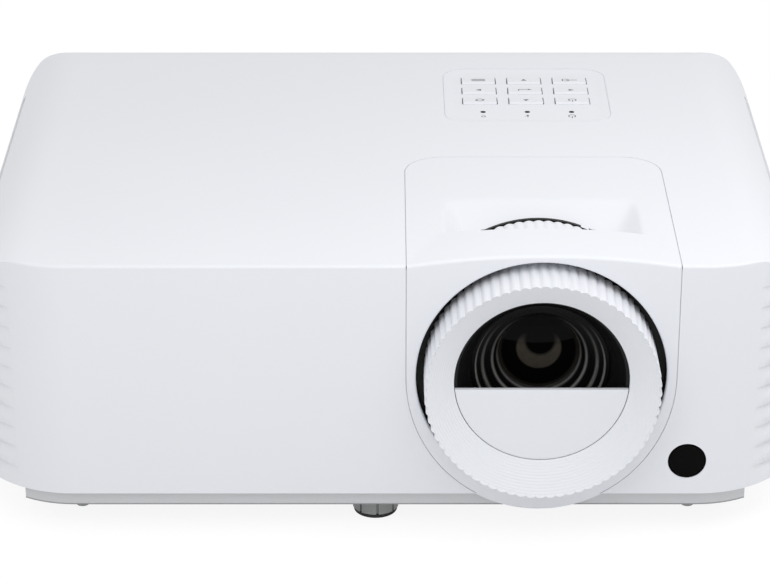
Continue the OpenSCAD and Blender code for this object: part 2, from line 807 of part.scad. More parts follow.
module key_sync() {
  key(-1, -1);
}

module key_down() {
  key(0, -1);
}

module key_power() {
  key(1, -1);
}

module status_lights() {
  color(dark) for (c = [-1 : 1]) translate([light_x(c), light_y, pad_board_z])
      cylinder(r = light_r, h = plate_z - pad_board_z);
}

module keypad_board() {
  w = 2 * board_hold_x + 8;
  d = 2 * board_hold_y + 8;
  color(board_green) {
    block([keypad_x - w / 2, keypad_y - d / 2, pad_board_z - board_t],
        [keypad_x + w / 2, keypad_y + d / 2, pad_board_z]);
    for (c = [-1 : 1], r = [-1 : 1]) translate([key_x(c), key_y(r), pad_board_z - touch])
        cylinder(r = 2.5, h = dome_h + touch);
  }
}

module ir_window() {
  color(dark) translate([ir_x, front_y, edge_h + ir_z]) rotate([-90, 0, 0]) {
    cylinder(r = ir_r, h = wall + seam + touch);
    translate([0, 0, wall + seam]) cylinder(r = ir_r + 1.5, h = 1.2);
  }
}

ir_x = half_w - ir_side;
ir_board_w = 18;
ir_board_y = front_y + base_inset + wall + 1.2;

module ir_receiver() {
  z = edge_h + ir_z;
  color(board_green) {
    block([ir_x - ir_board_w / 2, ir_board_y, floor_z],
        [ir_x + ir_board_w / 2, ir_board_y + board_t, z + 8]);
    translate([ir_x, ir_board_y + touch, z]) rotate([90, 0, 0]) cylinder(r = 3, h = 1.6 + touch);
  }
}

cone_root_r = focus_r - tooth_h - 0.1;
cone_top = -ring_out;
mouth_d = mouth_depth - ring_out;
grip_t = 2.6;

// Outline of a knurled ring with rounded teeth
module knurl(r) {
  per = 6;
  n = ring_teeth * per;
  polygon([for (k = [0 : n - 1]) let (a = 360 * k / n,
      t = r - tooth_h * (1 - abs(cos(ring_teeth * a / 2)))) [t * cos(a), t * sin(a)]]);
}

// The stepped cone as [radius, depth] points from the front edge in to the mouth
function cone_steps_points() = [for (k = [0 : cone_steps - 1], j = [0, 1])
  [cone_root_r - (k + j) * (cone_root_r - mouth_r) / cone_steps,
      cone_top + k * mouth_depth / cone_steps]];

module focus_ring() {
  bore = nose_r + ring_fit;
  lip_end = nose_d - 0.1;
  pocket_front = cone_top + 7.4;
  color(white) {
    difference() {
      on_lens() translate([0, 0, -ring_out]) linear_extrude(ring_out + ring_in, convexity = 8)
          knurl(focus_r);
      turned(concat([[0, cone_top - over], [cone_root_r, cone_top - over]], cone_steps_points(),
                    [[mouth_r, lip_end], [bore, lip_end], [bore, ring_in + over], [0, ring_in + over]]));
      tube(sleeve_r, cone_root_r - grip_t, pocket_front, ring_in + over);
    }
    tube(bore, sleeve_r, pocket_front, sleeve_end);
  }
}

nose_d = mouth_d + 1.95;
hood_in = 31;
hood_d = 7;
bore_end = 72;
index_d = zoom_front + zoom_w + seam;
nose_end = zoom_front - 0.4;
focus_pin_d = 16;
zoom_pin_d = zoom_front + zoom_w / 2;
pin_r = 1.5;
pin_fit = 0.1;

// The slot in the barrel for a cell's drive pin
module pin_slot(d, travel, r1) {
  on_lens() translate([-pin_r - pin_fit, cell_r - 2, d - travel - pin_r - 0.2])
    cube([2 * (pin_r + pin_fit), r1 - cell_r + 3, 2 * (travel + pin_r + 0.2)]);
}

module lens_barrel() {
  seat = rear_glass_r + glass_fit;
  color(dark) difference() {
    turned([[hood_in, nose_d], [nose_r, nose_d], [nose_r, nose_end], [saddle_r, nose_end],
        [saddle_r, index_d],
            [zoom_r + 0.2, index_d], [zoom_r + 0.2, index_d + index_w], [nose_r, index_d + index_w],
            [nose_r, barrel_end - 3], [flange_r, barrel_end - 3], [flange_r, barrel_end], [seat + 6,
                barrel_end],
            [seat + 6, barrel_end + 4.5], [seat - 2, barrel_end + 4.5], [seat - 2,
                bore_end + 16.3], [seat, bore_end + 16.3],
            [seat, bore_end], [cell_r, bore_end], [cell_r, hood_d], [cell_r + 2.2,
                hood_d - 3], [hood_in - 1.6, nose_d + 3]]);
    pin_slot(focus_pin_d, focus_travel, nose_r);
    pin_slot(zoom_pin_d, zoom_travel, saddle_r);
    for (a = lens_screw_angles) on_lens() rotate([0, 0, a])
        translate([flange_r - 3.8, 0, barrel_end - 4]) cylinder(r = screw_hole_r + 0.2, h = 6);
  }
}

module lens_mask() {
  color(white) intersection() {
    tube(0, mouth_r - mask_gap, mouth_d, mouth_d + mask_t);
    block([0, front_y - ring_out, base_z], [body_w, mid_y, lens_h - mask_drop]);
  }
}

focus_cell_d = 9;
focus_cell_len = 19;
front_glass_d = 23;

module focus_cell() {
  r = cell_r - cell_fit;
  d0 = focus_cell_d;
  d1 = d0 + focus_cell_len;
  color(dark) {
    turned([[r, d0], [r, d1], [front_glass_r - 2, d1], [front_glass_r - 2, front_glass_d + 3.8],
        [front_glass_r + glass_fit, front_glass_d + 3.8],
            [front_glass_r + glass_fit, front_glass_d - 2], [front_glass_r + 2.4,
                front_glass_d - 6], [front_glass_r + 3.2, front_glass_d - 6],
            [r - 4, d0 + 4.5], [r - 3.2, d0 + 4.5], [r - 1.3, d0]]);
    on_lens() translate([0, r - 1, focus_pin_d]) rotate([-90, 0, 0])
        cylinder(r = pin_r, h = nose_r - r + 0.7);
  }
}

// A round glass with bulging faces; its edge runs from depth d0 to d1
module glass(r, d0, d1, front_bulge, back_bulge) {
  rf = (r * r + front_bulge * front_bulge) / (2 * front_bulge);
  rb = (r * r + back_bulge * back_bulge) / (2 * back_bulge);
  color(glass_tint) on_lens() intersection() {
    translate([0, 0, d0 - front_bulge]) cylinder(r = r, h = d1 - d0 + front_bulge + back_bulge);
    translate([0, 0, d0 - front_bulge + rf]) sphere(rf, $fn = round_fn);
    translate([0, 0, d1 + back_bulge - rb]) sphere(rb, $fn = round_fn);
  }
}

module front_lens() {
  glass(front_glass_r, front_glass_d, front_glass_d + 3.4, 2.4, 1);
}

module zoom_ring() {
  color(white) difference() {
    on_lens() translate([0, 0, zoom_front]) linear_extrude(zoom_w, convexity = 8) knurl(zoom_r);
    tube(0, saddle_r + ring_fit, zoom_front - over, zoom_front + zoom_w + over);
  }
}

zoom_cell_d = focus_cell_d + focus_cell_len + focus_travel + zoom_travel + 0.5;
zoom_cell_len = 27;

module zoom_cell() {
  r = cell_r - cell_fit;
  d0 = zoom_cell_d;
  d1 = d0 + zoom_cell_len;
  g = zoom_glass_r + glass_fit;
  color(dark) {
    turned([[r, d0], [r, d1], [g - 2, d1], [g - 2, d0 + 14.3], [g, d0 + 14.3], [g, d0]]);
    on_lens() translate([0, r - 1, zoom_pin_d]) rotate([-90, 0, 0])
        cylinder(r = pin_r, h = saddle_r - r + 0.7);
  }
}

module zoom_lens() {
  glass(zoom_glass_r, zoom_cell_d + 9.5, zoom_cell_d + 13.9, 2.2, 1.2);
}

module rear_lens() {
  glass(rear_glass_r, bore_end + 11, bore_end + 15.9, 2.5, 1.2);
}

// Aluminium plate that carries the barrel on the light engine
module lens_mount() {
  d0 = barrel_end;
  z0 = engine_z0 + 6;
  color(metal) difference() {
    block([engine_x0 + 2, front_y + d0, z0], [engine_x0 + engine_w - 2, engine_y, engine_top - 1]);
    tube(0, rear_glass_r + 6 + glass_fit + stud_fit, d0 - over, d0 + 6);
    for (a = lens_screw_angles) on_lens() rotate([0, 0, a]) translate([flange_r - 3.8, 0, d0 - 1])
        cylinder(r = screw_hole_r + 0.2, h = 8);
  }
}

module engine_housing() {
  w = engine_wall;
  x1 = engine_x0 + engine_w;
  y1 = engine_y + engine_d;
  color(metal) difference() {
    block([engine_x0, engine_y, engine_z0], [x1, y1, engine_top]);
    difference() {
      block([engine_x0 + w, engine_y + w, engine_z0 + w], [x1 - w, y1 - w, engine_top + over]);
      block([lens_x - 17, path_abs_y - 17, engine_z0], [lens_x + 17, path_abs_y + 17, prism_z0]);
    }
    tube(0, rear_glass_r + 6 + glass_fit + stud_fit, barrel_end, barrel_end + w + 5);
    block([engine_x0 - over, path_abs_y - rod_s / 2, path_z - rod_s / 2],
        [engine_x0 + w + over, path_abs_y + rod_s / 2, path_z + rod_s / 2]);
    block([lens_x - 11, y1 - w - over, lens_h - 9], [lens_x + 11, y1 + over, lens_h + 9]);
    for (a = lens_screw_angles) on_lens() rotate([0, 0, a]) translate([flange_r - 3.8, 0, barrel_end])
        cylinder(r = screw_hole_r, h = 10);
  }
}

rod_s = 6;
prism_z0 = lens_h - 14;

module engine_cover() {
  color(metal) block([engine_x0, engine_y, engine_top],
      [engine_x0 + engine_w, engine_y + engine_d, engine_top + 1.5]);
}

// Two wedges with a thin air gap between them: one takes the light in, one lets it out
module prism() {
  side = 28;
  color(glass_tint) translate([lens_x - side / 2, path_abs_y - side / 2, prism_z0]) linear_extrude(side) {
    polygon([[0, seam], [side - seam, side], [0, side]]);
    polygon([[seam, 0], [side, 0], [side, side - seam]]);
  }
}

bracket_t = 3;
bracket_x = engine_x0 - 11;
wheel_z = path_z - wheel_r + 5;
motor_r = 12;
motor_len = 12.5;
wheel_x = bracket_x - motor_len - 0.5 - wheel_t;

module light_rod() {
  color(glass_tint) block([wheel_x + wheel_t + 1, path_abs_y - rod_s / 2, path_z - rod_s / 2],
                          [engine_x0 + engine_wall + 1, path_abs_y + rod_s / 2, path_z + rod_s / 2]);
}

module colour_wheel() {
  color([0.85, 0.80, 0.35]) translate([wheel_x, path_abs_y, wheel_z]) rotate([0, 90, 0]) {
    cylinder(r = wheel_r, h = wheel_t);
    translate([0, 0, -1.2]) cylinder(r = 9, h = 1.2 + touch);
    cylinder(r = 1.5, h = wheel_t + 9);
  }
}

module wheel_motor() {
  z1 = wheel_z + motor_r;
  color(metal) difference() {
    union() {
      translate([wheel_x + wheel_t + 0.5, path_abs_y, wheel_z]) rotate([0, 90, 0])
          cylinder(r = motor_r, h = motor_len + touch);
      block([bracket_x, path_abs_y - 14, floor_z], [bracket_x + bracket_t, path_abs_y + 14, z1]);
      block([bracket_x - 10, path_abs_y - 14, floor_z], [bracket_x + 0.1, path_abs_y + 14, floor_z + 3]);
    }
    translate([wheel_x, path_abs_y, wheel_z]) rotate([0, 90, 0])
        cylinder(r = 1.5 + ring_fit, h = wheel_t + 10);
  }
}

nozzle_len = 9;
sink_base = 5;
fin_len = 28;
fan_gap = 15.3;
laser_x1 = wheel_x - 2.5 - nozzle_len;
laser_x0 = fan_gap + fin_len + sink_base - fan_x;
laser_w = laser_x1 - laser_x0;
laser_y0 = path_abs_y - laser_d / 2;
laser_top = engine_z0 + laser_h;
sink_x1 = laser_x0;
sink_top = laser_top + 12;
pipe_z = laser_top + pipe_r + seam;
pipe_gap = 16;

module laser_module() {
  color(dark) {
    block([laser_x0, laser_y0, engine_z0], [laser_x1, laser_y0 + laser_d, laser_top]);
    translate([laser_x1 - touch, path_abs_y, path_z]) rotate([0, 90, 0])
        cylinder(r = 10, h = nozzle_len + touch);
    for (k = [0 : 3]) block([laser_x1 - 6 - k * 6, laser_y0 + 6, laser_top - touch],
        [laser_x1 - 3 - k * 6, laser_y0 + 12, laser_top + 1.5]);
  }
}

module laser_heatsink() {
  pitch = (laser_d - fin_t) / (fin_count - 1);
  color(metal) difference() {
    union() {
      block([sink_x1 - sink_base, laser_y0, engine_z0], [sink_x1, laser_y0 + laser_d, sink_top]);
      for (k = [0 : fin_count - 1]) block([sink_x1 - sink_base - fin_len, laser_y0 + k * pitch,
          engine_z0 + 4],
                                          [sink_x1 - sink_base + touch, laser_y0 + k * pitch + fin_t,
                                              sink_top]);
    }
    for (k = [-1 : 1]) translate([sink_x1 - sink_base - fin_len - over, path_abs_y + k * pipe_gap,
        pipe_z])
      rotate([0, 90, 0]) cylinder(r = pipe_r + touch, h = sink_base + fin_len + 2 * over);
  }
}

module heat_pipes() {
  color([0.72, 0.45, 0.25]) for (k = [-1 : 1])
      translate([sink_x1 - sink_base - fin_len + 1, path_abs_y + k * pipe_gap, pipe_z])
    rotate([0, 90, 0]) cylinder(r = pipe_r, h = sink_base + fin_len + laser_w - 30);
}

chip_y = engine_y + engine_d;

module chip_board() {
  color(board_green) {
    block([lens_x - 22, chip_y + 2, lens_h - 21], [lens_x + 22, chip_y + 2 + board_t, lens_h + 26]);
    block([lens_x - 15, chip_y, lens_h - 12], [lens_x + 15, chip_y + 2 + touch, lens_h + 12]);
  }
}

module chip_heatsink() {
  y0 = chip_y + 2 + board_t;
  fins = 9;
  pitch = (44 - fin_t) / (fins - 1);
  color(metal) {
    block([lens_x - 22, y0, lens_h - 20], [lens_x + 22, y0 + 4, lens_h + 24]);
    for (k = [0 : fins - 1]) block([lens_x - 22 + k * pitch, y0 + 4 - touch, lens_h - 20],
        [lens_x - 22 + k * pitch + fin_t, y0 + 16, lens_h + 24]);
  }
}

fan_hub_r = 15;
fan_bore_r = fan_size / 2 - 2;

// The square frame of a fan on side s, with three arms that carry the rotor's bearing
module fan_frame(s) {
  x0 = s > 0 ? fan_x : -fan_x - fan_t;
  back = s > 0 ? x0 : x0 + fan_t - 2.5;
  color(dark) translate([0, fan_y, fan_z]) difference() {
    union() {
      difference() {
        block([x0, -fan_size / 2, -fan_size / 2], [x0 + fan_t, fan_size / 2, fan_size / 2]);
        translate([x0 - over, 0, 0]) rotate([0, 90, 0]) cylinder(r = fan_bore_r, h = fan_t + 2 * over,
            $fn = round_fn);
      }
      translate([back, 0, 0]) rotate([0, 90, 0]) cylinder(r = fan_hub_r, h = 2.5);
      for (a = [30 : 120 : 270]) rotate([a, 0, 0])
          block([back, fan_hub_r - 2, -2], [back + 2.5, fan_bore_r + 1, 2]);
    }
    translate([back - over, 0, 0]) rotate([0, 90, 0]) cylinder(r = 1.5 + ring_fit, h = 2.5 + 2 * over);
  }
}

// The rotor: a hub with tilted blades and its shaft
module fan_rotor(s) {
  x0 = s > 0 ? fan_x + 3.3 : -fan_x - fan_t + 1;
  h = fan_t - 4.3;
  shaft_x = s > 0 ? fan_x : -fan_x - 3.5;
  color([0.2, 0.2, 0.22]) translate([0, fan_y, fan_z]) {
    translate([x0, 0, 0]) rotate([0, 90, 0]) cylinder(r = fan_hub_r, h = h);
    translate([shaft_x, 0, 0]) rotate([0, 90, 0]) cylinder(r = 1.5, h = 3.5);
    intersection() {
      for (k = [0 : fan_blades - 1]) rotate([k * 360 / fan_blades, 0, 0]) translate([x0 + h / 2, 0, 0])
          rotate([0, 0, 35])
        block([-0.8, -fan_hub_r / 3, fan_hub_r - 2], [0.8, fan_hub_r / 3, fan_bore_r + 2]);
      translate([x0, 0, 0]) rotate([0, 90, 0]) cylinder(r = fan_bore_r - 1, h = h, $fn = round_fn);
    }
  }
}

module intake_fan_frame() {
  fan_frame(1);
}

module intake_fan_rotor() {
  fan_rotor(1);
}

module exhaust_fan_frame() {
  fan_frame(-1);
}

module exhaust_fan_rotor() {
  fan_rotor(-1);
}

chip_w = 26;
chip_d = 18;
chip_in = 3;

module main_board() {
  y0 = board_y1 - main_d;
  xm = board_x0 + main_w / 2;
  color(board_green) {
    block([board_x0, y0, board_z], [board_x0 + main_w, board_y1, socket_z]);
    block([xm - chip_w / 2, y0 + chip_in, socket_z - touch],
        [xm + chip_w / 2, y0 + chip_in + chip_d, socket_z + 6]);
    for (k = [0 : 4]) translate([board_x0 + main_w - 8 - k * 9, y0 + chip_in + 4, socket_z - touch])
        cylinder(r = 3, h = 9);
  }
}

module av_sockets() {
  y0 = back_y - wall - 14;
  y1 = back_y - rear_sink - 0.1;
  color(metal) for (k = [0 : len(sockets) - 1]) {
    p = sockets[k];
    xm = socket_x(k);
    zm = socket_z + p[1] / 2;
    wide = p[0] > 20;
    difference() {
      block([xm - p[0] / 2, y0, socket_z], [xm + p[0] / 2, y1, socket_z + p[1]]);
      if (p[2] > 0) translate([xm, y0 + 3, zm]) rotate([-90, 0, 0]) cylinder(r = p[2], h = y1);
      if (p[2] == 0 && !wide) difference() {
        block([xm - p[0] / 2 + 0.6, y0 + 3, socket_z + 0.6],
            [xm + p[0] / 2 - 0.6, y1 + over, socket_z + p[1] - 0.6]);
        block([xm - p[0] / 2 + 2, y0, zm - 0.4], [xm + p[0] / 2 - 2, y1 - 2, zm + 0.8]);
      }
      if (wide) difference() {
        block([xm - p[0] / 2 - over, y1 - 5, socket_z - over],
            [xm + p[0] / 2 + over, y1 + over, socket_z + p[1] + over]);
        block([xm - hood_w / 2, y1 - 6, zm - hood_h / 2], [xm + hood_w / 2, y1 + over, zm + hood_h / 2]);
        for (s = [-1, 1]) translate([xm + s * 12.5, y1 - 6, zm]) rotate([-90, 0, 0])
            cylinder(r = 2.4, h = 6);
      }
    }
  }
}

module mains_inlet() {
  y0 = back_y - wall - 20;
  y1 = back_y - rear_sink - 0.1;
  z0 = socket_z;
  z1 = z0 + inlet_h;
  zm = (z0 + z1) / 2;
  color(dark) {
    difference() {
      block([inlet_x - inlet_w / 2, y0, z0], [inlet_x + inlet_w / 2, y1, z1]);
      block([inlet_x - inlet_w / 2 + 1.5, y0 + 4, z0 + 1.7],
          [inlet_x + inlet_w / 2 - 1.5, y1 + over, z1 - 1.7]);
    }
    for (p = [[-7, -2], [0, 2], [7, -2]]) block([inlet_x + p[0] - 1, y0 + 3, zm + p[1] - 2],
        [inlet_x + p[0] + 1, y1 - 3, zm + p[1] + 2]);
    block([inlet_x - inlet_w / 2, y0, floor_z], [inlet_x + inlet_w / 2, y0 + 3, z0 + touch]);
  }
}

power_x0 = laser_x0 - 29;
power_y0 = front_y + base_inset + wall + 4;

module power_board() {
  z0 = floor_z + power_lift;
  z1 = z0 + board_t;
  color(board_green) {
    block([power_x0, power_y0, z0], [power_x0 + power_w, power_y0 + power_d, z1]);
    block([power_x0 + 34, power_y0 + 22, z1 - touch], [power_x0 + 62, power_y0 + 46, z1 + 26]);
    for (k = [0 : 2]) translate([power_x0 + 14, power_y0 + 14 + k * 20, z1 - touch])
        cylinder(r = 8, h = 32);
    for (k = [0 : 1]) block([power_x0 + 70 + k * 10, power_y0 + 14, z1 - touch],
        [power_x0 + 73 + k * 10, power_y0 + 60, z1 + 28]);
  }
}

module speaker() {
  x0 = speaker_x0;
  y1 = back_y - base_inset - wall - seam;
  color(dark) difference() {
    block([x0, y1 - speaker_d, floor_z], [x0 + speaker_w, y1, floor_z + speaker_h]);
    translate([x0 + speaker_w / 2, y1 + over, floor_z + speaker_h / 2 + 1]) rotate([90, 0, 0])
        cylinder(r = 15, h = 4 + over);
  }
}

// Rubber pad under foot k, with a socket for the knob's spigot
module foot_pad(k) {
  color(dark) translate([feet[k][0], feet[k][1], 0]) difference() {
    cylinder(r = foot_r - 0.5, h = pad_h);
    translate([0, 0, pad_h - 1.2]) cylinder(r = 2.5 + stud_fit, h = 1.2 + over);
  }
}

// Grooved grip of foot k with its stud and the spigot that turns in the pad
module foot_knob(k) {
  grooves = 8;
  color(foot_grey) translate([feet[k][0], feet[k][1], 0]) {
    difference() {
      translate([0, 0, pad_h]) cylinder(r = foot_r, h = knob_top - pad_h, $fn = round_fn);
      for (a = [0 : grooves - 1]) rotate([0, 0, 5 + a * 360 / grooves])
          block([foot_r - 0.9, -0.45, pad_h - over], [foot_r + over, 0.45, knob_top + over]);
    }
    translate([0, 0, pad_h - 1]) cylinder(r = 2.5, h = 1 + touch);
    translate([0, 0, knob_top - touch])
        cylinder(r = stud_r, h = nut_low + nut_h + foot_travel + touch - knob_top);
  }
}

module front_foot_pad() {
  foot_pad(0);
}

module front_foot_knob() {
  foot_knob(0);
}

module left_foot_pad() {
  foot_pad(1);
}

module left_foot_knob() {
  foot_knob(1);
}

module right_foot_pad() {
  foot_pad(2);
}

module right_foot_knob() {
  foot_knob(2);
}

module foot_nuts() {
  color(brass) for (p = feet) translate([p[0], p[1], nut_low]) difference() {
    cylinder(r = nut_r, h = nut_h);
    translate([0, 0, -over]) cylinder(r = stud_r + stud_fit, h = nut_h + 2 * over);
  }
}

module mounting_inserts() {
  color(brass) for (p = mount_spots) translate([p[0], p[1], base_z]) difference() {
    cylinder(r = insert_r + insert_wall, h = insert_len);
    translate([0, 0, -over]) cylinder(r = insert_r, h = insert_len + 2 * over);
  }
}

// One screw with a cross slot, its head's outer face at z = 0 and its shank along +Z
module screw() {
  difference() {
    union() {
      cylinder(r = screw_head_r, h = head_h);
      cylinder(r = screw_r, h = head_h + screw_len);
    }
    block([-2, -0.35, -over], [2, 0.35, 1.2]);
    block([-0.35, -2, -over], [0.35, 2, 1.2]);
  }
}

module case_screws() {
  color(metal) {
    for (p = post_spots) translate([p[0], p[1], post_z - shelf_t - head_h]) screw();
    for (a = lens_screw_angles) on_lens() rotate([0, 0, a])
        translate([flange_r - 3.8, 0, barrel_end - 3 - head_h]) screw();
  }
}

top_cover();
bottom_case();
lens_surround();
lens_baffle();
left_side_guard();
right_side_guard();
rear_panel();
keypad_plate();
key_menu();
key_up();
key_info();
key_left();
key_enter();
key_right();
key_sync();
key_down();
key_power();
status_lights();
keypad_board();
ir_window();
ir_receiver();
lens_barrel();
lens_mask();
focus_ring();
focus_cell();
front_lens();
zoom_ring();
zoom_cell();
zoom_lens();
rear_lens();
lens_mount();
engine_housing();
engine_cover();
prism();
light_rod();
colour_wheel();
wheel_motor();
laser_module();
laser_heatsink();
heat_pipes();
chip_board();
chip_heatsink();
intake_fan_frame();
intake_fan_rotor();
exhaust_fan_frame();
exhaust_fan_rotor();
main_board();
av_sockets();
mains_inlet();
power_board();
speaker();
front_foot_pad();
front_foot_knob();
left_foot_pad();
left_foot_knob();
right_foot_pad();
right_foot_knob();
foot_nuts();
mounting_inserts();
case_screws();
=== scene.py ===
"""Desktop video projector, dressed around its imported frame. Places in the code are in
millimetres in the frame of the CAD: +X to the viewer's right, +Y to the back, +Z up."""
import math

import bmesh
import bpy
import numpy as np
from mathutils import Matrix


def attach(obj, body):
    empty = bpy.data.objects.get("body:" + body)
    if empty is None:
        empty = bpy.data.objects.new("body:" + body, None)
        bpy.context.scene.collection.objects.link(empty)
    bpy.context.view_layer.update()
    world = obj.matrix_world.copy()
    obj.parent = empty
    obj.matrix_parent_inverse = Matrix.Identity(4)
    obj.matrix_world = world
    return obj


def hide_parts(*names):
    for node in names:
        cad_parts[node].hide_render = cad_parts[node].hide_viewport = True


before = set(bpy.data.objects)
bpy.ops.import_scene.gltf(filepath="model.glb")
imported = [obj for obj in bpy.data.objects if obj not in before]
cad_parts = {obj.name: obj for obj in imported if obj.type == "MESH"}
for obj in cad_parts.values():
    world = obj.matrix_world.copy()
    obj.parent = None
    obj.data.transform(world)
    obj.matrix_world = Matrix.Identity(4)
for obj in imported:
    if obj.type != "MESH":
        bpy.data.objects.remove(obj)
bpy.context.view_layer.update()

# ----------------------------------------
# Camera, lamp and floor. A long lens stands a metre in front of the projector, 25 degrees
# above it. A long soft lamp hangs close over the front, and pale surroundings fill the rest.
VIEW_AIM = np.array([0.0, -0.1133, 0.1006])
VIEW_REACH, VIEW_PITCH, VIEW_END = 1.054, math.radians(25.10), 20
PICTURE_W, FOCAL_PIXELS, SENSOR = 770, 2915, 36.0


def in_scene(name, data):
    """A new object of the scene, made of the given data."""
    made = bpy.data.objects.new(name, data)
    bpy.context.scene.collection.objects.link(made)
    return made


view_data = bpy.data.cameras.new("view")
view_data.sensor_width = SENSOR
view_data.lens = FOCAL_PIXELS / PICTURE_W * SENSOR
view_data.clip_end = VIEW_END
view = in_scene("view", view_data)
view.location = VIEW_AIM + VIEW_REACH * np.array([0, -math.cos(VIEW_PITCH), math.sin(VIEW_PITCH)])
view.rotation_euler = (math.pi / 2 - VIEW_PITCH, 0, 0)
bpy.context.scene.camera = view
bpy.context.scene.view_settings.view_transform = "Standard"


class Wire:
    """A shader socket. Arithmetic on it adds Math nodes, and node() adds any other node."""

    def __init__(self, tree, socket=None):
        self.tree = tree
        self.socket = socket

    def node(self, kind, settings=None, sockets=None, out=0):
        made = self.tree.nodes.new("ShaderNode" + kind)
        for key, value in (settings or {}).items():
            if key == "stops":
                ramp = made.color_ramp.elements
                ramp[0].position, ramp[0].color = value[0]
                ramp[1].position, ramp[1].color = value[-1]
                for place, colour in value[1:-1]:
                    ramp.new(place).color = colour
            else:
                setattr(made, key, value)
        for key, value in (sockets or {}).items():
            if isinstance(value, Wire):
                self.tree.links.new(value.socket, made.inputs[key])
            else:
                made.inputs[key].default_value = value
        return Wire(self.tree, made.outputs[out])

    def math(self, operation, a, b=0.0):
        return self.node("Math", {"operation": operation}, {0: a, 1: b})

    def __add__(self, other):
        return self.math("ADD", self, other)

    __radd__ = __add__

    def __sub__(self, other):
        return self.math("SUBTRACT", self, other)

    def __rsub__(self, other):
        return self.math("SUBTRACT", other, self)

    def __mul__(self, other):
        return self.math("MULTIPLY", self, other)

    __rmul__ = __mul__

    def over(self, limit):
        return self.math("GREATER_THAN", self, limit)

    def rise(self, low, high):
        """0 up to low, 1 from high on, and even in between."""
        return self.node("MapRange", None, {"Value": self, "From Min": low, "From Max": high})

    def blend(self, low, high):
        """Colour low where this value is 0, and colour high where it is 1."""
        return self.node("Mix", {"data_type": "RGBA"}, {0: self, 6: low, 7: high}, out=2)

    def place(self):
        """A point's place on the piece, in metres."""
        return self.node("TexCoord", out="Object")

    def noise(self, scale, detail=2.0):
        return self.node("TexNoise", None, {"Vector": self.place(), "Scale": scale, "Detail": detail})

    def parts(self):
        """The X, Y and Z of a vector, each as a Wire."""
        split = self.node("SeparateXYZ", None, {0: self}).socket.node
        return [Wire(self.tree, split.outputs[k]) for k in range(3)]

    def bump(self, depth, strength):
        return self.node("Bump", None, {"Height": self, "Distance": depth, "Strength": strength})


def srgb(red, green, blue):
    """A colour of 0 to 255 steps as the linear values that a shader takes."""
    steps = np.array([red, green, blue]) / 255
    line = np.where(steps <= 0.04045, steps / 12.92, ((steps + 0.055) / 1.055) ** 2.4)
    return (*line.tolist(), 1.0)


def shaded(colour, share):
    """A colour made lighter or darker by a share of itself."""
    return (*[min(1.0, part * (1 + share)) for part in colour[:3]], 1.0)


LAMP_AT, LAMP_AIM = np.array([0.12, -0.22, 0.32]), np.array([0.02, -0.06, 0.10])
LAMP_WIDE, LAMP_DEEP, LAMP_POWER = 0.8, 0.15, 0.52
SURROUND, GLOSS_LIFT = 0.815, 0.05

lamp_data = bpy.data.lights.new("softbox", "AREA")
lamp_data.shape = "RECTANGLE"
lamp_data.size, lamp_data.size_y = LAMP_WIDE, LAMP_DEEP
lamp_data.energy = LAMP_POWER
lamp = in_scene("softbox", lamp_data)
lamp.location = LAMP_AT
lamp.visible_camera = False
reach = LAMP_AIM - LAMP_AT
lamp.rotation_euler = (math.acos(-reach[2] / np.linalg.norm(reach)), 0,
                       math.atan2(reach[1], reach[0]) - math.pi / 2)

world = bpy.data.worlds.new("surround")
world.use_nodes = True
bpy.context.scene.world = world
sky = Wire(world.node_tree)
sky_seen = sky.node("LightPath", out="Is Camera Ray")
sky_glossy = sky.node("LightPath", out="Is Glossy Ray")
sky_level = SURROUND + sky_seen * (1 - SURROUND) + sky_glossy * GLOSS_LIFT
back = world.node_tree.nodes["Background"]
back.inputs["Color"].default_value = (1, 1, 1, 1)
world.node_tree.links.new(sky_level.socket, back.inputs["Strength"])

FLOOR_HALF = 3.0
floor_mesh = bpy.data.meshes.new("floor")
floor_mesh.from_pydata([(sx * FLOOR_HALF, sy * FLOOR_HALF, 0)
                        for sx, sy in ((-1, -1), (1, -1), (1, 1), (-1, 1))], [], [(0, 1, 2, 3)])
floor = in_scene("floor", floor_mesh)
floor_finish = bpy.data.materials.new("pale_floor")
floor_finish.use_nodes = True
tree = floor_finish.node_tree
plain = tree.nodes["Principled BSDF"]
plain.inputs["Roughness"].default_value = 0.9
plain.inputs["Specular IOR Level"].default_value = 0.1
paper = Wire(tree)
tone = paper.noise(2.0).blend(srgb(232, 232, 232), srgb(236, 236, 236))
tree.links.new(tone.socket, plain.inputs["Base Color"])
SHADOW_SHARE, PAPER_GLOW = 0.15, 0.885
dim = paper.node("BsdfDiffuse", None, {"Color": (SHADOW_SHARE, SHADOW_SHARE, SHADOW_SHARE, 1)})
glow = paper.node("Emission", None, {"Strength": PAPER_GLOW})
pictured = paper.node("AddShader", None, {0: dim, 1: glow})
seen = (paper.node("LightPath", out="Is Camera Ray") + paper.node("LightPath", out="Is Glossy Ray")
        + paper.node("LightPath", out="Is Transmission Ray"))
lit = paper.node("MixShader", None, {0: seen, 1: Wire(tree, plain.outputs[0]), 2: pictured})
tree.links.new(lit.socket, tree.nodes["Material Output"].inputs["Surface"])
floor_mesh.materials.append(floor_finish)

# ----------------------------------------
# Base: a grey moulded tray below the cover, with a small rest nub near each front corner.
# It carries every board and the light engine, and six screws pull the cover down on it.
MM = 0.001
BASE_FOOT = 9.80
# Painted shade along the base's bottom edge: its lower and upper heights above the foot, its share and its
# grey.
SHADE_LINE_LOW, SHADE_LINE_HIGH, SHADE_LINE_SHARE, SHADE_LINE_GREY = 0.35, 0.8, 0.6, srgb(70, 71, 72)
ROUND_STEPS = 2
MERGE_CAD, FLAT_ANGLE = 2e-6, math.radians(0.6)


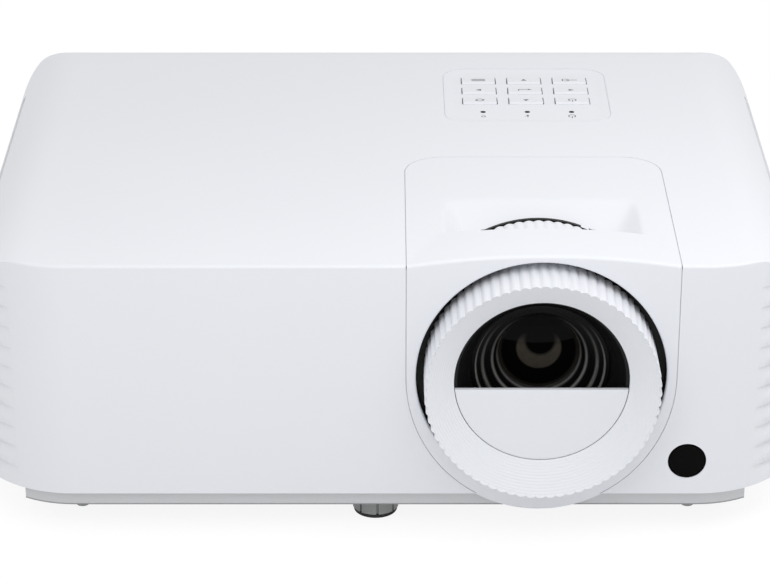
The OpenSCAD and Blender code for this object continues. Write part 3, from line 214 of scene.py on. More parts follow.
def surface(name, recipe, **fixed):
    """A Principled material: what recipe returns varies over the piece, the rest is fixed."""
    material = bpy.data.materials.new(name)
    material.use_nodes = True
    nodes = material.node_tree
    shader = nodes.nodes["Principled BSDF"]
    for key, value in fixed.items():
        shader.inputs[key].default_value = value
    for key, wire in recipe(Wire(nodes)).items():
        nodes.links.new(wire.socket, shader.inputs[key])
    return material


def moulding(name, colour, rough, grain=0.0007, depth=0.000012, blotch=0.012, level=0.5, foot=None):
    """Moulded plastic: a fine spark-eroded grain, and a faint drift of tone and gloss. Where foot is given, a
    dark line of painted shade runs along the edge at that height in millimetres."""
    def recipe(start):
        fine = start.noise(1 / grain, 3.0)
        broad = start.noise(11.0, 1.0)
        tone = broad.blend(shaded(colour, -blotch), shaded(colour, blotch))
        if foot is not None:
            # Painted shade: the colour turns darker towards the bottom edge, below foot plus the line's upper
            # height.
            height = start.place().parts()[2] * (1 / MM)
            edge_shade = 1 - height.rise(foot + SHADE_LINE_LOW, foot + SHADE_LINE_HIGH)
            tone = (edge_shade * SHADE_LINE_SHARE).blend(tone, SHADE_LINE_GREY)
        return {"Base Color": tone,
                "Roughness": rough + (fine - 0.5) * 0.10 + (broad - 0.5) * 0.08,
                "Normal": fine.bump(depth, 0.5)}
    return surface(name, recipe, **{"Specular IOR Level": level})


# The base's bottom edge carries the dark line of painted shade.
band_grey = moulding("grey_moulding", srgb(207, 209, 211), 0.50, foot=BASE_FOOT)


def soften(made, angle=38, bevel=0.0, bevel_angle=55, weigh=True):
    """Smooth shading up to an angle, and where bevel is given a small round on sharp edges."""
    made.data.polygons.foreach_set("use_smooth", np.ones(len(made.data.polygons), bool))
    made.data.set_sharp_from_angle(angle=math.radians(angle))
    if bevel:
        rounds = made.modifiers.new("edge_rounds", "BEVEL")
        rounds.width = bevel * MM
        rounds.segments = ROUND_STEPS
        rounds.limit_method = "ANGLE"
        rounds.angle_limit = math.radians(bevel_angle)
        rounds.use_clamp_overlap = True
        rounds.harden_normals = True
        rounds.miter_outer = "MITER_ARC"
    if weigh:
        even = made.modifiers.new("even_normals", "WEIGHTED_NORMAL")
        even.keep_sharp = True
        even.weight = 100
    made.data.update()
    return made


def mount(made, body, slot_name, *nodes):
    """Hangs a finished piece on its body and says which CAD nodes it stands for."""
    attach(made, body)
    if nodes:
        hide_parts(*nodes)


def refined(node, body, slot_name, finish, bevel):
    """A CAD node's own mesh with its doubles merged, flat faces joined and edges rounded."""
    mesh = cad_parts[node].data.copy()
    mesh.name = node + "_dressed"
    work = bmesh.new()
    work.from_mesh(mesh)
    bmesh.ops.remove_doubles(work, verts=work.verts, dist=MERGE_CAD)
    bmesh.ops.dissolve_limit(work, angle_limit=FLAT_ANGLE, verts=work.verts, edges=work.edges,
                             use_dissolve_boundaries=False)
    work.to_mesh(mesh)
    work.free()
    for name in ("custom_normal", "sharp_edge", "sharp_face"):
        if name in mesh.attributes:
            mesh.attributes.remove(mesh.attributes[name])
    mesh.materials.clear()
    mesh.materials.append(finish)
    mount(soften(in_scene(mesh.name, mesh), bevel=bevel), body, slot_name, node)


ROOT = "projector"
refined("bottom_case", ROOT, "base_grey", band_grey, bevel=0.5)

# ----------------------------------------
# Top cover: front, sides, back and top in one white moulding. Its sides and back run into
# the top in a wide round, its front meets the top in a crisp edge, and level grooves on
# the front corners deepen into the air slots of the sides.
HALF_W, FRONT, BACK = 156.5, -113.3, 126.7
EDGE, TOP, SKIN = 16.2, 109.7, 2.5
SIDE_ROUND, BACK_ROUND, FRONT_ROUND = 26.0, 25.0, 1.2
FRONT_CORNER, BACK_CORNER = 40.0, 33.0
LENS_X, LENS_Z = 57.4, 64.7
PANEL_HALF, PANEL_DROP, PANEL_DEEP, PANEL_CORNER = 49.6, 54.5, 102.5, 15.0
SEAM = 0.3
SWING = np.radians([5, 10, 16, 22, 29, 36, 43, 50, 57, 64, 71, 78, 84, 90])
EDGE_INSETS, FLAT_INSETS = [0.1, 0.3, 0.6, 0.9, FRONT_ROUND], np.array([28.0, 30.0])
MERGE, NO_LENGTH = 2e-7, 1e-7
white = moulding("white_moulding", srgb(233, 235, 240), 0.46)


def arc(x, y, r, start, end, count):
    """Points on a circle's arc: centre plus r times the cosine and sine of even angles."""
    turn = np.radians(np.linspace(start, end, count))
    return np.stack([x + r * np.cos(turn), y + r * np.sin(turn)], 1)


def run(a, b, count):
    """Points on a straight line from a to b, both ends left out."""
    t = np.linspace(0, 1, count + 2)[1:-1, None]
    return np.array(a) * (1 - t) + np.array(b) * t


def body_outline(inset):
    """The body in plan, set in by inset: four arcs with fixed centres, joined by lines."""
    fx, fy, fr = HALF_W - FRONT_CORNER, FRONT + FRONT_CORNER, FRONT_CORNER - inset
    bx, by, br = HALF_W - BACK_CORNER, BACK - BACK_CORNER, BACK_CORNER - inset
    corners = [arc(-fx, fy, fr, 180, 270, 41), arc(fx, fy, fr, 270, 360, 41),
               arc(bx, by, br, 0, 90, 33), arc(-bx, by, br, 90, 180, 33)]
    gaps = [run(corners[0][-1], corners[1][0], 18), run(corners[1][-1], corners[2][0], 14),
            run(corners[2][-1], corners[3][0], 18), run(corners[3][-1], corners[0][0], 14)]
    return np.concatenate([part for pair in zip(corners, gaps) for part in pair])


def round_fall(d, r):
    """How far a round edge of radius r has fallen at d beyond its start: r - sqrt(r2 - d2)."""
    d = np.clip(d, 0, r)
    return r - np.sqrt(np.maximum(r * r - d * d, 0))


def cover_height(plan, inset, skin):
    """Height of the cover's top over a plan point. The falls of the side, back and front
    rounds are joined by the fourth root of the sum of their fourth powers."""
    x, y = plan[:, 0], plan[:, 1]
    side = round_fall(np.abs(x) - (HALF_W - SIDE_ROUND), SIDE_ROUND - skin)
    back_fall = round_fall(y - (BACK - BACK_ROUND), BACK_ROUND - skin)
    ahead = np.clip((FRONT + FRONT_CORNER - y) / FRONT_CORNER, 0, 1)
    crisp = max(FRONT_ROUND - skin, 0.0)
    edge = round_fall(crisp - inset, crisp) * ahead if crisp else 0 * x
    fall = (side ** 4 + back_fall ** 4 + edge ** 4) ** 0.25
    return TOP - skin - fall


def grid_faces(rows, columns, wrap_rows=False, wrap_columns=False):
    """Quads between the neighbours of a grid of points, numbered row by row."""
    r = np.arange(rows if wrap_rows else rows - 1)[:, None]
    c = np.arange(columns if wrap_columns else columns - 1)[None, :]
    r2, c2 = (r + 1) % rows, (c + 1) % columns
    quads = np.stack([r * columns + c, r * columns + c2, r2 * columns + c2, r2 * columns + c], -1)
    return quads.reshape(-1, 4).tolist()


def capped(rings):
    """Rings of points joined one to the next, and closed by a flat face at both ends."""
    rings = np.asarray(rings, float)
    count, around = rings.shape[:2]
    faces = grid_faces(count, around, wrap_columns=True)
    faces += [list(range(around)), [(count - 1) * around + k for k in range(around)]]
    return rings.reshape(-1, 3), faces


def cover_skin(skin, levels):
    """Rings of one skin of the cover, from its lower edge up the wall and over the top. They
    lie closest together where the top bends most."""
    rim = body_outline(skin)
    top = cover_height(rim, 0, skin)
    rings = [np.column_stack([rim, EDGE + (top - EDGE) * t]) for t in levels]
    bend = (SIDE_ROUND - skin) * (1 - np.cos(SWING))
    insets = np.concatenate([bend, [] if skin else EDGE_INSETS, FLAT_INSETS - skin])
    for inset in np.unique(np.round(insets, 4)):
        plan = body_outline(skin + inset)
        rings.append(np.column_stack([plan, cover_height(plan, inset, skin)]))
    return np.array(rings)


def tidy_mesh(mesh, turn=True):
    """Merges doubles, drops edges with no length and, with turn, points the faces outwards."""
    work = bmesh.new()
    work.from_mesh(mesh)
    bmesh.ops.remove_doubles(work, verts=work.verts, dist=MERGE)
    bmesh.ops.dissolve_degenerate(work, edges=work.edges, dist=NO_LENGTH)
    if turn:
        bmesh.ops.recalc_face_normals(work, faces=work.faces)
    work.to_mesh(mesh)
    work.free()


def piece(name, points, faces, finish=None):
    """An object from points in millimetres and faces of their numbers."""
    mesh = bpy.data.meshes.new(name)
    mesh.from_pydata((np.asarray(points, float) * MM).tolist(), [], faces)
    tidy_mesh(mesh)
    if finish:
        mesh.materials.append(finish)
    return in_scene(name, mesh)


inner, outer = cover_skin(SKIN, [0, 0.33, 0.66, 1]), cover_skin(0, [0, 0.2, 0.4, 0.6, 0.8, 1])
cover = piece("top_cover_shell", *capped(np.concatenate([inner[::-1], outer])), white)


def at_level(path, level, axis="z"):
    """A flat path set at a level of the axis that it has no values of."""
    return np.insert(np.asarray(path, float), "xyz".index(axis), level, axis=1)


def prism(outline, low, high, axis="z"):
    """A closed bar with a given outline: in plan along z, from the front along y, or from the
    side along x."""
    return capped([at_level(outline, level, axis) for level in (low, high)])


def bar(x0, x1, y0, y1, z0, z1):
    """A closed bar between two corners."""
    return prism([(x0, y0), (x1, y0), (x1, y1), (x0, y1)], z0, z1)


def joined(solids):
    """Several solids as one list of points and faces."""
    points, faces, base = [], [], 0
    for these, own in solids:
        points.append(these)
        faces += [[base + k for k in face] for face in own]
        base += len(these)
    return np.concatenate(points), faces


def settle(made):
    """Puts a piece's modifiers into its mesh."""
    bpy.context.view_layer.update()
    seen = made.evaluated_get(bpy.context.evaluated_depsgraph_get())
    result = bpy.data.meshes.new_from_object(seen)
    made.modifiers.clear()
    old = made.data
    made.data = result
    bpy.data.meshes.remove(old)


def discard(made):
    """Deletes an object and its mesh."""
    mesh = made.data
    bpy.data.objects.remove(made)
    bpy.data.meshes.remove(mesh)


def carve(made, *solids, operation="DIFFERENCE"):
    """Takes each set of solids out of a piece, or adds it, with an exact Boolean."""
    for points, faces in solids:
        tool = piece("tool", points, faces)
        change = made.modifiers.new("change", "BOOLEAN")
        change.object = tool
        change.operation = operation
        change.solver = "EXACT"
        settle(made)
        discard(tool)
    tidy_mesh(made.data, turn=False)


def rounded_box(x, y, half_x, half_y, r, count=9):
    """A rectangle about x, y with round corners."""
    parts = [arc(x + sx * (half_x - r), y + sy * (half_y - r), r, a, a + 90, count)
             for sx, sy, a in ((1, 1, 0), (-1, 1, 90), (-1, -1, 180), (1, -1, 270))]
    return np.concatenate(parts)


def panel_face(grow):
    """The lens panel from the front: upright sides above half an ellipse."""
    t = np.linspace(0, math.pi, 61)
    a, b = PANEL_HALF + grow, PANEL_DROP + grow
    bow = np.column_stack([LENS_X - a * np.cos(t), LENS_Z - b * np.sin(t)])
    return np.concatenate([bow, [(LENS_X + a, TOP + 9), (LENS_X - a, TOP + 9)]])


def panel_plan(grow):
    """The lens panel's top from above, with two round corners at its back."""
    a, r = PANEL_HALF + grow, PANEL_CORNER + grow
    rear = FRONT + PANEL_DEEP + grow
    return np.concatenate([[(LENS_X - a, FRONT - 5), (LENS_X + a, FRONT - 5)],
                           arc(LENS_X + a - r, rear - r, r, 0, 90, 19),
                           arc(LENS_X - a + r, rear - r, r, 90, 180, 19)])


KEYPAD_X, KEYPAD_Y, KEYPAD_W, KEYPAD_D, KEYPAD_R = 58.0, 56.2, 68.0, 61.0, 10.0
IR_X, IR_Z, IR_R = 112.3, 30.0, 7.1
REAR_X0, REAR_X1, REAR_Z0, REAR_H = -122.0, 64.0, 23.2, 44.0
SPEAKER_X, SPEAKER_Z, SPEAKER_STEP, SPEAKER_H = 103.0, 40.3, 4, 26
LOUVRE_LOW, LOUVRE_H, LOUVRE_STEP, LOUVRE_COUNT = 21.2, 3.4, 8.2, 10
SLOT_FRONT, SLOT_BACK, SLOT_INSIDE = FRONT + 30, BACK - 42, 138.0


def keypad_outline(grow, count=13):
    """The keypad's opening in plan, let out by grow, with count points on each corner."""
    return rounded_box(KEYPAD_X, KEYPAD_Y, KEYPAD_W / 2 + grow, KEYPAD_D / 2 + grow,
                       KEYPAD_R + grow, count)


def air_slot(side, low):
    """A level slot through the side wall with round ends."""
    r = LOUVRE_H / 2
    outline = np.concatenate([arc(SLOT_FRONT + r, low + r, r - 0.01, 90, 270, 9),
                              arc(SLOT_BACK - r, low + r, r - 0.01, -90, 90, 9)])
    return prism(outline, side * SLOT_INSIDE, side * (HALF_W + 2), "x")


levels = LOUVRE_LOW + LOUVRE_STEP * np.arange(LOUVRE_COUNT)
carve(cover, prism(panel_face(SEAM), FRONT - 5, FRONT + SKIN + 1, "y"))
carve(cover, prism(panel_plan(SEAM), TOP - SKIN - 1, TOP + 3))
carve(cover, joined([
    prism(keypad_outline(0, 9), TOP - 6, TOP + 3),
    prism(arc(IR_X, IR_Z, IR_R + 0.05, 0, 354.4, 64), FRONT - 3, FRONT + 5, "y"),
    bar(REAR_X0, REAR_X1, BACK - 6, BACK + 3, REAR_Z0, REAR_Z0 + REAR_H)]
    + [prism(rounded_box(SPEAKER_X + SPEAKER_STEP * k, SPEAKER_Z, 1, SPEAKER_H / 2, 0.95, 4),
             BACK - 5, BACK + 3, "y") for k in range(-4, 5)]
    + [air_slot(side, low) for side in (-1, 1) for low in levels]))
soften(cover, bevel=0.22, weigh=False)
settle(cover)

GROOVE_X, GROOVE_DEEP, GROOVE_STEPS, GROOVE_OVER = 137.0, 2.8, 30, 0.8
# Points of the section: a share of the depth, a share of the height, and a way outwards.
GROOVE_SECTION = [(-1.0, 0.04, 0), (0.0, 0.0, 0.03), (0.0, 0.0, 0.9), (0.0, 1.0, 0.9), (0.0, 1.0, 0.03)]


def groove(side, top):
    """A level groove round a front corner: a section with a flat roof and a long slope
    below it, carried along the body's outline. With t from 0 at the front to 1 at the side,
    it is 1.5 t / (0.5 + t) of its full depth deep and 1.5 - 0.5 t louvres high."""
    rise = max(top - (TOP - SIDE_ROUND), 0)
    reach_x = HALF_W - SIDE_ROUND + math.sqrt(SIDE_ROUND ** 2 - rise ** 2)
    start = math.degrees(math.asin((GROOVE_X - HALF_W + FRONT_CORNER) / FRONT_CORNER))
    end = math.degrees(math.acos(1 - (SLOT_FRONT + GROOVE_OVER - FRONT) / FRONT_CORNER))
    turn = np.radians(np.linspace(start, end, GROOVE_STEPS))
    x = HALF_W - FRONT_CORNER + FRONT_CORNER * np.sin(turn)
    y = FRONT + FRONT_CORNER - FRONT_CORNER * np.cos(turn)
    out_x, out_y = np.sin(turn), -np.cos(turn)
    cut = x > reach_x
    x = np.minimum(x, reach_x)
    out_x, out_y = np.where(cut, 1, out_x), np.where(cut, 0, out_y)
    t = np.linspace(0, 1, GROOVE_STEPS)
    deep = GROOVE_DEEP * (1.5 * t / (0.5 + t)) - 0.03 * (1 - t)
    tall = LOUVRE_H * (1.5 - 0.5 * t)
    rows = [np.column_stack([side * (x + out_x * (far * deep + away)),
                             y + out_y * (far * deep + away), top - drop * tall])
            for far, drop, away in GROOVE_SECTION]
    return capped(np.array(rows).transpose(1, 0, 2))


carve(cover, joined([groove(side, low + LOUVRE_H) for side in (-1, 1) for low in levels]))


def strip(paths):
    """Paths joined side by side round a bar, and closed by a flat face at both ends."""
    paths = np.asarray(paths, float)
    sides, count = paths.shape[:2]
    faces = grid_faces(sides, count, wrap_rows=True)
    faces += [[k * count + end for k in range(sides)] for end in (0, count - 1)]
    return paths.reshape(-1, 3), faces


def rebate(near, far, low, high, axis):
    """A thin ledge below a seam: the strip between two open paths, from one depth to another."""
    corners = ((near, low), (far, low), (far, high), (near, high))
    return strip([at_level(path, level, axis) for path, level in corners])


def weld(made, *others):
    """Joins other objects to a piece, as parts of the same moulding."""
    with bpy.context.temp_override(active_object=made, selected_editable_objects=[made, *others],
                                   selected_objects=[made, *others], object=made):
        bpy.ops.object.join()


# Ledges of the cover close its seams a little below the surface, so that they look pale.
SEAM_DEEP, PLATE_SEAM_DEEP = 0.58, 0.26
face_paths = [np.vstack([path[-1:], path[:-1]]) for path in map(panel_face, (0.02, SEAM + 0.5))]
for path in face_paths:
    path[0, 1] = path[-1, 1] = TOP - SEAM_DEEP
plan_paths = [np.vstack([path[1:], path[:1]]) for path in map(panel_plan, (0.02, SEAM + 0.5))]
for path in plan_paths:
    path[0, 1] = path[-1, 1] = FRONT + SEAM_DEEP
plate_paths = [keypad_outline(grow) for grow in (0.02 - SEAM, 0.5)]
plate_paths = [np.vstack([path, path[:1] + [0, 1e-3]]) for path in plate_paths]
ledges = joined([rebate(*face_paths, FRONT + SEAM_DEEP, FRONT + 1.6, "y"),
                 rebate(*plan_paths, TOP - 1.6, TOP - SEAM_DEEP, "z"),
                 rebate(*plate_paths, TOP - 1.6, TOP - PLATE_SEAM_DEEP, "z")])
weld(cover, piece("ledges", *ledges, white))
mount(soften(cover, angle=32), ROOT, "cover_white", "top_cover")

# ----------------------------------------
# Lens panel: a separate white moulding that holds the round hole for the focus ring below
# an arched brow, and the recess in which a finger reaches the zoom ring.
BROW, BROW_LEN = 4.0, 65.0
HOLE_R = 46.1
RECESS_HALF, RECESS_SHIFT = 37.0, 1.1
RECESS_FRONT, RECESS_FOOT, RECESS_BACK, RECESS_SINK = 29.4, 45.8, 61.5, 7.3
RECESS_LIP, WALL_STEEP = 1.2, 60
BROW_ROUND, END_ROUND, FLOOR_ROUND, RIM_ROUND = 0.12, 3.0, 2.0, 0.7


def soft_min(a, b, k):
    """The lower of two heights, with the corner between them rounded over k."""
    return 0.5 * (a + b - np.sqrt((a - b) ** 2 + k * k))


def panel_height(across, depth, skin=0.0):
    """Height of the panel's top: an arch that falls to the back, less the recess, whose
    depth is the least of its floor's, its back slope's, its two ends' and its front wall's."""
    arch_r = (PANEL_HALF ** 2 + BROW ** 2) / (2 * BROW)
    arch = BROW - (arch_r - np.sqrt(arch_r ** 2 - across ** 2)) - depth * BROW / BROW_LEN
    brow = TOP - soft_min(-arch, 0 * arch, BROW_ROUND) - skin
    grow = 2.0 if skin else 0.0
    floor_sink = brow - (TOP - RECESS_SINK - grow)
    slope = (RECESS_BACK + grow / 2 - depth) * RECESS_SINK / (RECESS_BACK - RECESS_FOOT)
    ends = RECESS_HALF + grow - np.abs(across - RECESS_SHIFT)
    sink = soft_min(soft_min(slope, ends, END_ROUND), floor_sink, FLOOR_ROUND)
    sink = -soft_min(-sink, 0 * sink, RIM_ROUND)
    # Well past the ends, what this rounding leaves is taken off.
    rest = RIM_ROUND / 2
    sink = np.where(sink < rest + 0.01, np.maximum(sink - rest * (ends < -4), 0), sink)
    lip = depth - (RECESS_FRONT - grow - RECESS_LIP)
    wall = round_fall(lip, RECESS_LIP) + WALL_STEEP * np.maximum(lip - RECESS_LIP, 0)
    wall = np.where(lip < 0, 0, wall)
    return brow - np.minimum(sink, wall)


# Columns across the panel and rows from its lower edge to its back, close together round
# the recess: each row has a kind, half its width, and a height, share, angle or depth.
across = np.unique(np.concatenate([np.linspace(-PANEL_HALF, -39, 9), np.linspace(-39, 40.5, 150),
                                   np.linspace(40.5, PANEL_HALF, 8)]))
depths = np.concatenate([
    [1.2, 1.8, 2.6, 4, 7, 10, 14, 18, 22, 26, 27.6], np.linspace(28.1, 29.35, 9),
    RECESS_FRONT + np.array([0.0, 0.02, 0.04, 0.06, 0.08, 0.1, 0.12, 0.14, 0.16, 0.2, 0.3]),
    np.linspace(30, 64, 69), [67, 71, 76, 82, 87.5]])
rows = [("front", PANEL_HALF * math.sin(t), LENS_Z - PANEL_DROP * math.cos(t))
        for t in np.radians(np.linspace(0, 90, 22))]
rows += [("rise", PANEL_HALF, t) for t in np.linspace(0, 1, 9)[1:]]
rows += [("turn", PANEL_HALF, t) for t in np.radians([18, 36, 54, 72])]
rows += [("top", PANEL_HALF, d) for d in depths]
rows += [("top", PANEL_HALF - PANEL_CORNER * (1 - math.cos(t)), PANEL_DEEP - PANEL_CORNER * (1 - math.sin(t)))
         for t in np.radians(np.linspace(0, 90, 13)[1:])]
outside, inside = [], []
for kind, half, value in rows:
    x = across * half / PANEL_HALF
    edge = panel_height(x, FRONT_ROUND)
    if kind == "front":
        y, z = 0.0, value
    elif kind == "rise":
        y, z = 0.0, LENS_Z + (edge - FRONT_ROUND - LENS_Z) * value
    elif kind == "turn":
        y, z = FRONT_ROUND * (1 - math.cos(value)), edge - FRONT_ROUND * (1 - math.sin(value))
    else:
        y, z = value, panel_height(x, value)
    outside.append(np.column_stack([LENS_X + x, FRONT + y + 0 * x, z + 0 * x]))
    shift = 2.0 * np.exp(-((y - RECESS_FRONT) / 7.0) ** 2) if kind == "top" else 0
    deep = max(y - shift, SKIN)
    low = panel_height(x, deep, SKIN)
    if kind != "top":
        low = np.minimum(z, low)
    inside.append(np.column_stack([LENS_X + x, FRONT + deep + 0 * x, low]))
outside, inside = np.array(outside), np.array(inside)
loop = np.concatenate([outside, inside[:, ::-1]], axis=1)
faces = grid_faces(*loop.shape[:2], wrap_columns=True)
wide = len(across)
last = (len(rows) - 1) * 2 * wide
faces += [[last + k, last + k + 1, last + 2 * wide - 2 - k, last + 2 * wide - 1 - k]
          for k in range(wide - 1)]
panel = piece("lens_panel", loop.reshape(-1, 3), faces, white)


# A turned profile ends this near to its axis, where its points run together.
AXIS = 0.001


def lathe(profile, count=160, teeth=None, centre=(LENS_X, LENS_Z)):
    """A closed profile of radius and depth, turned about the lens axis or another centre.
    Where teeth is given, it takes the radius and the angle, and returns the new radius."""
    profile = np.asarray(profile, float)
    angle = np.linspace(0, 2 * math.pi, count, endpoint=False)[None, :]
    r = np.repeat(profile[:, :1], count, 1)
    d = np.repeat(profile[:, 1:], count, 1)
    if teeth:
        r = teeth(r, angle)
    x, z = centre
    points = np.stack([x + r * np.sin(angle), FRONT + d, z + r * np.cos(angle)], -1)
    return points.reshape(-1, 3), grid_faces(len(profile), count, True, True)


HOLE_LIP, ZOOM_R, ZOOM_GAP = 0.7, 44.0, 0.55
lip = [(HOLE_R + HOLE_LIP - HOLE_LIP * math.sin(t), HOLE_LIP - HOLE_LIP * math.cos(t))
       for t in np.radians(np.linspace(0, 90, 6))]
carve(panel, lathe([(AXIS, -4), (HOLE_R + HOLE_LIP, -4)] + lip + [(HOLE_R, 12), (AXIS, 12)], 180))
carve(panel, lathe([(AXIS, RECESS_FRONT + 0.21), (ZOOM_R + ZOOM_GAP, RECESS_FRONT + 0.21),
                    (ZOOM_R + ZOOM_GAP, RECESS_FOOT), (AXIS, RECESS_FOOT)], 180))


def across_lens(near, far, low, high):
    """A bar wider than the lens panel, between two depths behind the front and two heights."""
    return bar(0, 120, FRONT + near, FRONT + far, low, high)


COLLAR_TOP, COLLAR_FOOT = 108.45, 10.2
collar = piece("collar", *lathe([(47.1, 2.3), (48.6, 2.3), (48.6, 10), (47.1, 10)], 120), white)
carve(collar, joined([across_lens(-5, 30, COLLAR_TOP, 130), across_lens(-5, 30, -10, COLLAR_FOOT)]))
weld(panel, collar)
mount(soften(panel, angle=40, bevel=0.22, bevel_angle=62), ROOT, "cover_white", "lens_surround")

# ----------------------------------------
# Black light seal: a flange behind the panel with a thin black collar that lines the hole, so that the gap
# round the focus ring stays dark: the collar stands in for the shade that falls in that gap. Each cut is made
# alone: two cutting bars that share a face leave an empty mesh.
SEAL_TOP, FLANGE_TOP, FLANGE_D = 108.3, 106.9, 9.9
black = moulding("black_moulding", srgb(24, 24, 26), 0.55, blotch=0.08)
# The collar, from 46.35 to 46.95 mm, is a black sheet that stands in for shade in the gap round the focus
# ring. The rest of the profile is the flange.
seal_profile = [(37.2, 10.02), (46.35, 10.02), (46.35, 3.2), (46.6, 2.6), (46.95, 2.6), (46.95, 10.02),
                (48.6, 10.02), (48.6, 11.5), (37.2, 11.5)]
seal = piece("light_seal", *lathe(seal_profile, 144), black)
carve(seal, across_lens(-5, FLANGE_D, SEAL_TOP, 130), across_lens(FLANGE_D, 30, FLANGE_TOP, 130),
      across_lens(-5, 30, -10, COLLAR_FOOT))
mount(soften(seal), ROOT, "black_plastic", "lens_baffle")

# ----------------------------------------
# Focus ring: a white knurled ring with 72 rounded teeth outside and a cone of twelve fine
# steps inside. It turns on the barrel's nose on a thin sleeve.
TEETH, ROOT_R, GRIP_R = 72, 42.35, 43.2
CONE_R, MOUTH_R, CONE_FRONT, MOUTH_D, STEPS = 43.1, 32.2, -13.4, -4.0, 12


def rounded_teeth(root, tip):
    """Teeth between two radii: what lies beyond the root is drawn in towards it by one minus
    the size of a cosine."""
    def change(r, angle):
        share = np.clip((r - root) / (tip - root), 0, 1)
        return r - (tip - root) * share * (1 - np.abs(np.cos(TEETH * angle / 2)))
    return change


stairs = []
for k in range(STEPS):
    for along, sink in ((0.0, 0.0), (0.78, 0.0), (0.89, 0.19)):
        t = (k + along) / STEPS
        stairs.append((MOUTH_R + t * (CONE_R - MOUTH_R) + sink, MOUTH_D + t * (CONE_FRONT - MOUTH_D)))
ring_profile = ([(34.0, -2.15), (MOUTH_R + 0.2, -2.15), (MOUTH_R, -2.35), (MOUTH_R, MOUTH_D)] + stairs
                + [(CONE_R, CONE_FRONT), (GRIP_R, CONE_FRONT + 0.1), (GRIP_R, -6), (GRIP_R, 0),
                   (GRIP_R, 8.0), (42.9, 8.5), (39.5, 8.5), (39.5, -6), (36.5, -6), (36.5, 24),
                   (34.0, 24)])
ring = piece("knurled_focus_ring", *lathe(ring_profile, TEETH * 12, rounded_teeth(ROOT_R, GRIP_R)), white)
mount(soften(ring, angle=34), "focus_ring", "cover_white", "focus_ring")

# Mask: a white D-shaped plate that closes the lower half of the mouth behind a fine dark
# seam. It is fixed to the barrel's nose and doesn't turn.
MASK_R, MASK_TOP, MASK_D0, MASK_D1 = 31.98, 61.7, -4.0, -2.3


def half_disc(inset):
    """A circle's lower part below a straight edge, set in by inset."""
    r, level = MASK_R - inset, MASK_TOP - inset - LENS_Z
    side_angle = math.degrees(math.asin(-level / r))
    bowl = arc(LENS_X, LENS_Z, r, 180 + side_angle, 360 - side_angle, 80)
    return np.concatenate([bowl, run(bowl[-1], bowl[0], 20)])


rings = [(0, MASK_D1), (0, MASK_D0 + 0.35), (0.1, MASK_D0 + 0.12), (0.35, MASK_D0), (1.0, MASK_D0)]
mask = piece("mask_plate", *capped([at_level(half_disc(inset), FRONT + d, "y") for inset, d in rings]),
             white)
mount(soften(mask, angle=45), ROOT, "cover_white", "lens_mask")

# ----------------------------------------
# Barrel: a black moulding whose nose carries the focus ring and whose wide part carries the
# zoom ring, with a fixed index flange behind. Four screws hold it to the mount plate.
lens_black = moulding("lens_black", srgb(19, 19, 20), 0.38, grain=0.0004, depth=0.000006, blotch=0.08,
                      level=0.22)
refined("lens_barrel", ROOT, "black_plastic", lens_black, bevel=0.2)

# Index mark: a short white stroke painted on the index flange, right of its top.
INDEX_AT, INDEX_WIDE = 23.3, 2.1
INDEX_LOW, INDEX_HIGH, INDEX_D0, INDEX_D1 = 44.0, 44.23, 43.77, 45.43
stroke = np.radians(INDEX_AT + np.linspace(-INDEX_WIDE, INDEX_WIDE, 9))
mark = [at_level(np.column_stack([LENS_X + r * np.sin(stroke), LENS_Z + r * np.cos(stroke)]), FRONT + d, "y")
        for r, d in ((INDEX_LOW, INDEX_D0), (INDEX_HIGH, INDEX_D0), (INDEX_HIGH, INDEX_D1),
                     (INDEX_LOW, INDEX_D1))]
index_mark = piece("index_mark", *strip(mark), white)
mount(soften(index_mark), ROOT, "cover_white")

# ----------------------------------------
# Zoom ring: a white knurled ring behind the focus ring. Its top stands in the recess, and
# a finger turns it there.
ZOOM_D0, ZOOM_D1, ZOOM_BORE, ZOOM_ROOT = 31.0, 43.5, 38.05, 43.4
zoom_profile = [(ZOOM_BORE, ZOOM_D0 + 0.4), (ZOOM_BORE + 0.4, ZOOM_D0), (42.4, ZOOM_D0),
                (43.3, ZOOM_D0 + 0.15), (43.8, ZOOM_D0 + 0.5), (ZOOM_R, ZOOM_D0 + 1.0),
                (ZOOM_R, 35), (ZOOM_R, 39), (ZOOM_R, ZOOM_D1 - 0.3), (43.92, ZOOM_D1 - 0.08),
                (43.7, ZOOM_D1), (ZOOM_BORE + 0.4, ZOOM_D1), (ZOOM_BORE, ZOOM_D1 - 0.4)]
zoom_ring = piece("knurled_zoom_ring",
                  *lathe(zoom_profile, TEETH * 12, rounded_teeth(ZOOM_ROOT, ZOOM_R)), white)
mount(soften(zoom_ring, angle=34), "zoom_ring", "cover_white", "zoom_ring")

# ----------------------------------------
# Focus cell: a black funnel of fine steps round the front glass. It slides in the barrel,
# driven by a pin from the focus ring.
CELL_R, CELL_D0, CELL_D1 = 25.7, 9.0, 28.0
PIN_R, PIN_D, PIN_LOW, PIN_HIGH = 1.5, 16, 34.6, 24.7
FUNNEL = [(24.6, 9.4), (21.4, 13.6), (18.4, 17.2)]
# Painted highlights on the funnel's step edges: the radius, half a width and the strength of each.
EDGE_GLINTS = ((23.9, 0.45, 0.75), (21.3, 0.8, 0.5), (17.6, 0.7, 0.6), (15.6, 0.5, 0.5))
funnel = []
for (ra, da), (rb, db), ribs in ((FUNNEL[0], FUNNEL[1], 4), (FUNNEL[1], FUNNEL[2], 3)):
    for k in range(ribs):
        r0, d0 = ra + (rb - ra) * k / ribs, da + (db - da) * k / ribs
        r1 = ra + (rb - ra) * (k + 1) / ribs
        funnel += [(r0, d0), (r1 + 0.12, d0 + 0.12), (r1, d0 + 0.3)]
cell_profile = ([(CELL_R, CELL_D1), (CELL_R, CELL_D0 + 0.2), (CELL_R - 0.2, CELL_D0),
                 (24.8, CELL_D0 + 0.1)] + funnel
                + [(17.6, 16.9), (17.1, 17.0), (16.6, 17.6), (15.9, 20.2), (15.25, 21.0),
                   (15.25, 26.8), (13.2, 26.8), (13.2, CELL_D1)])


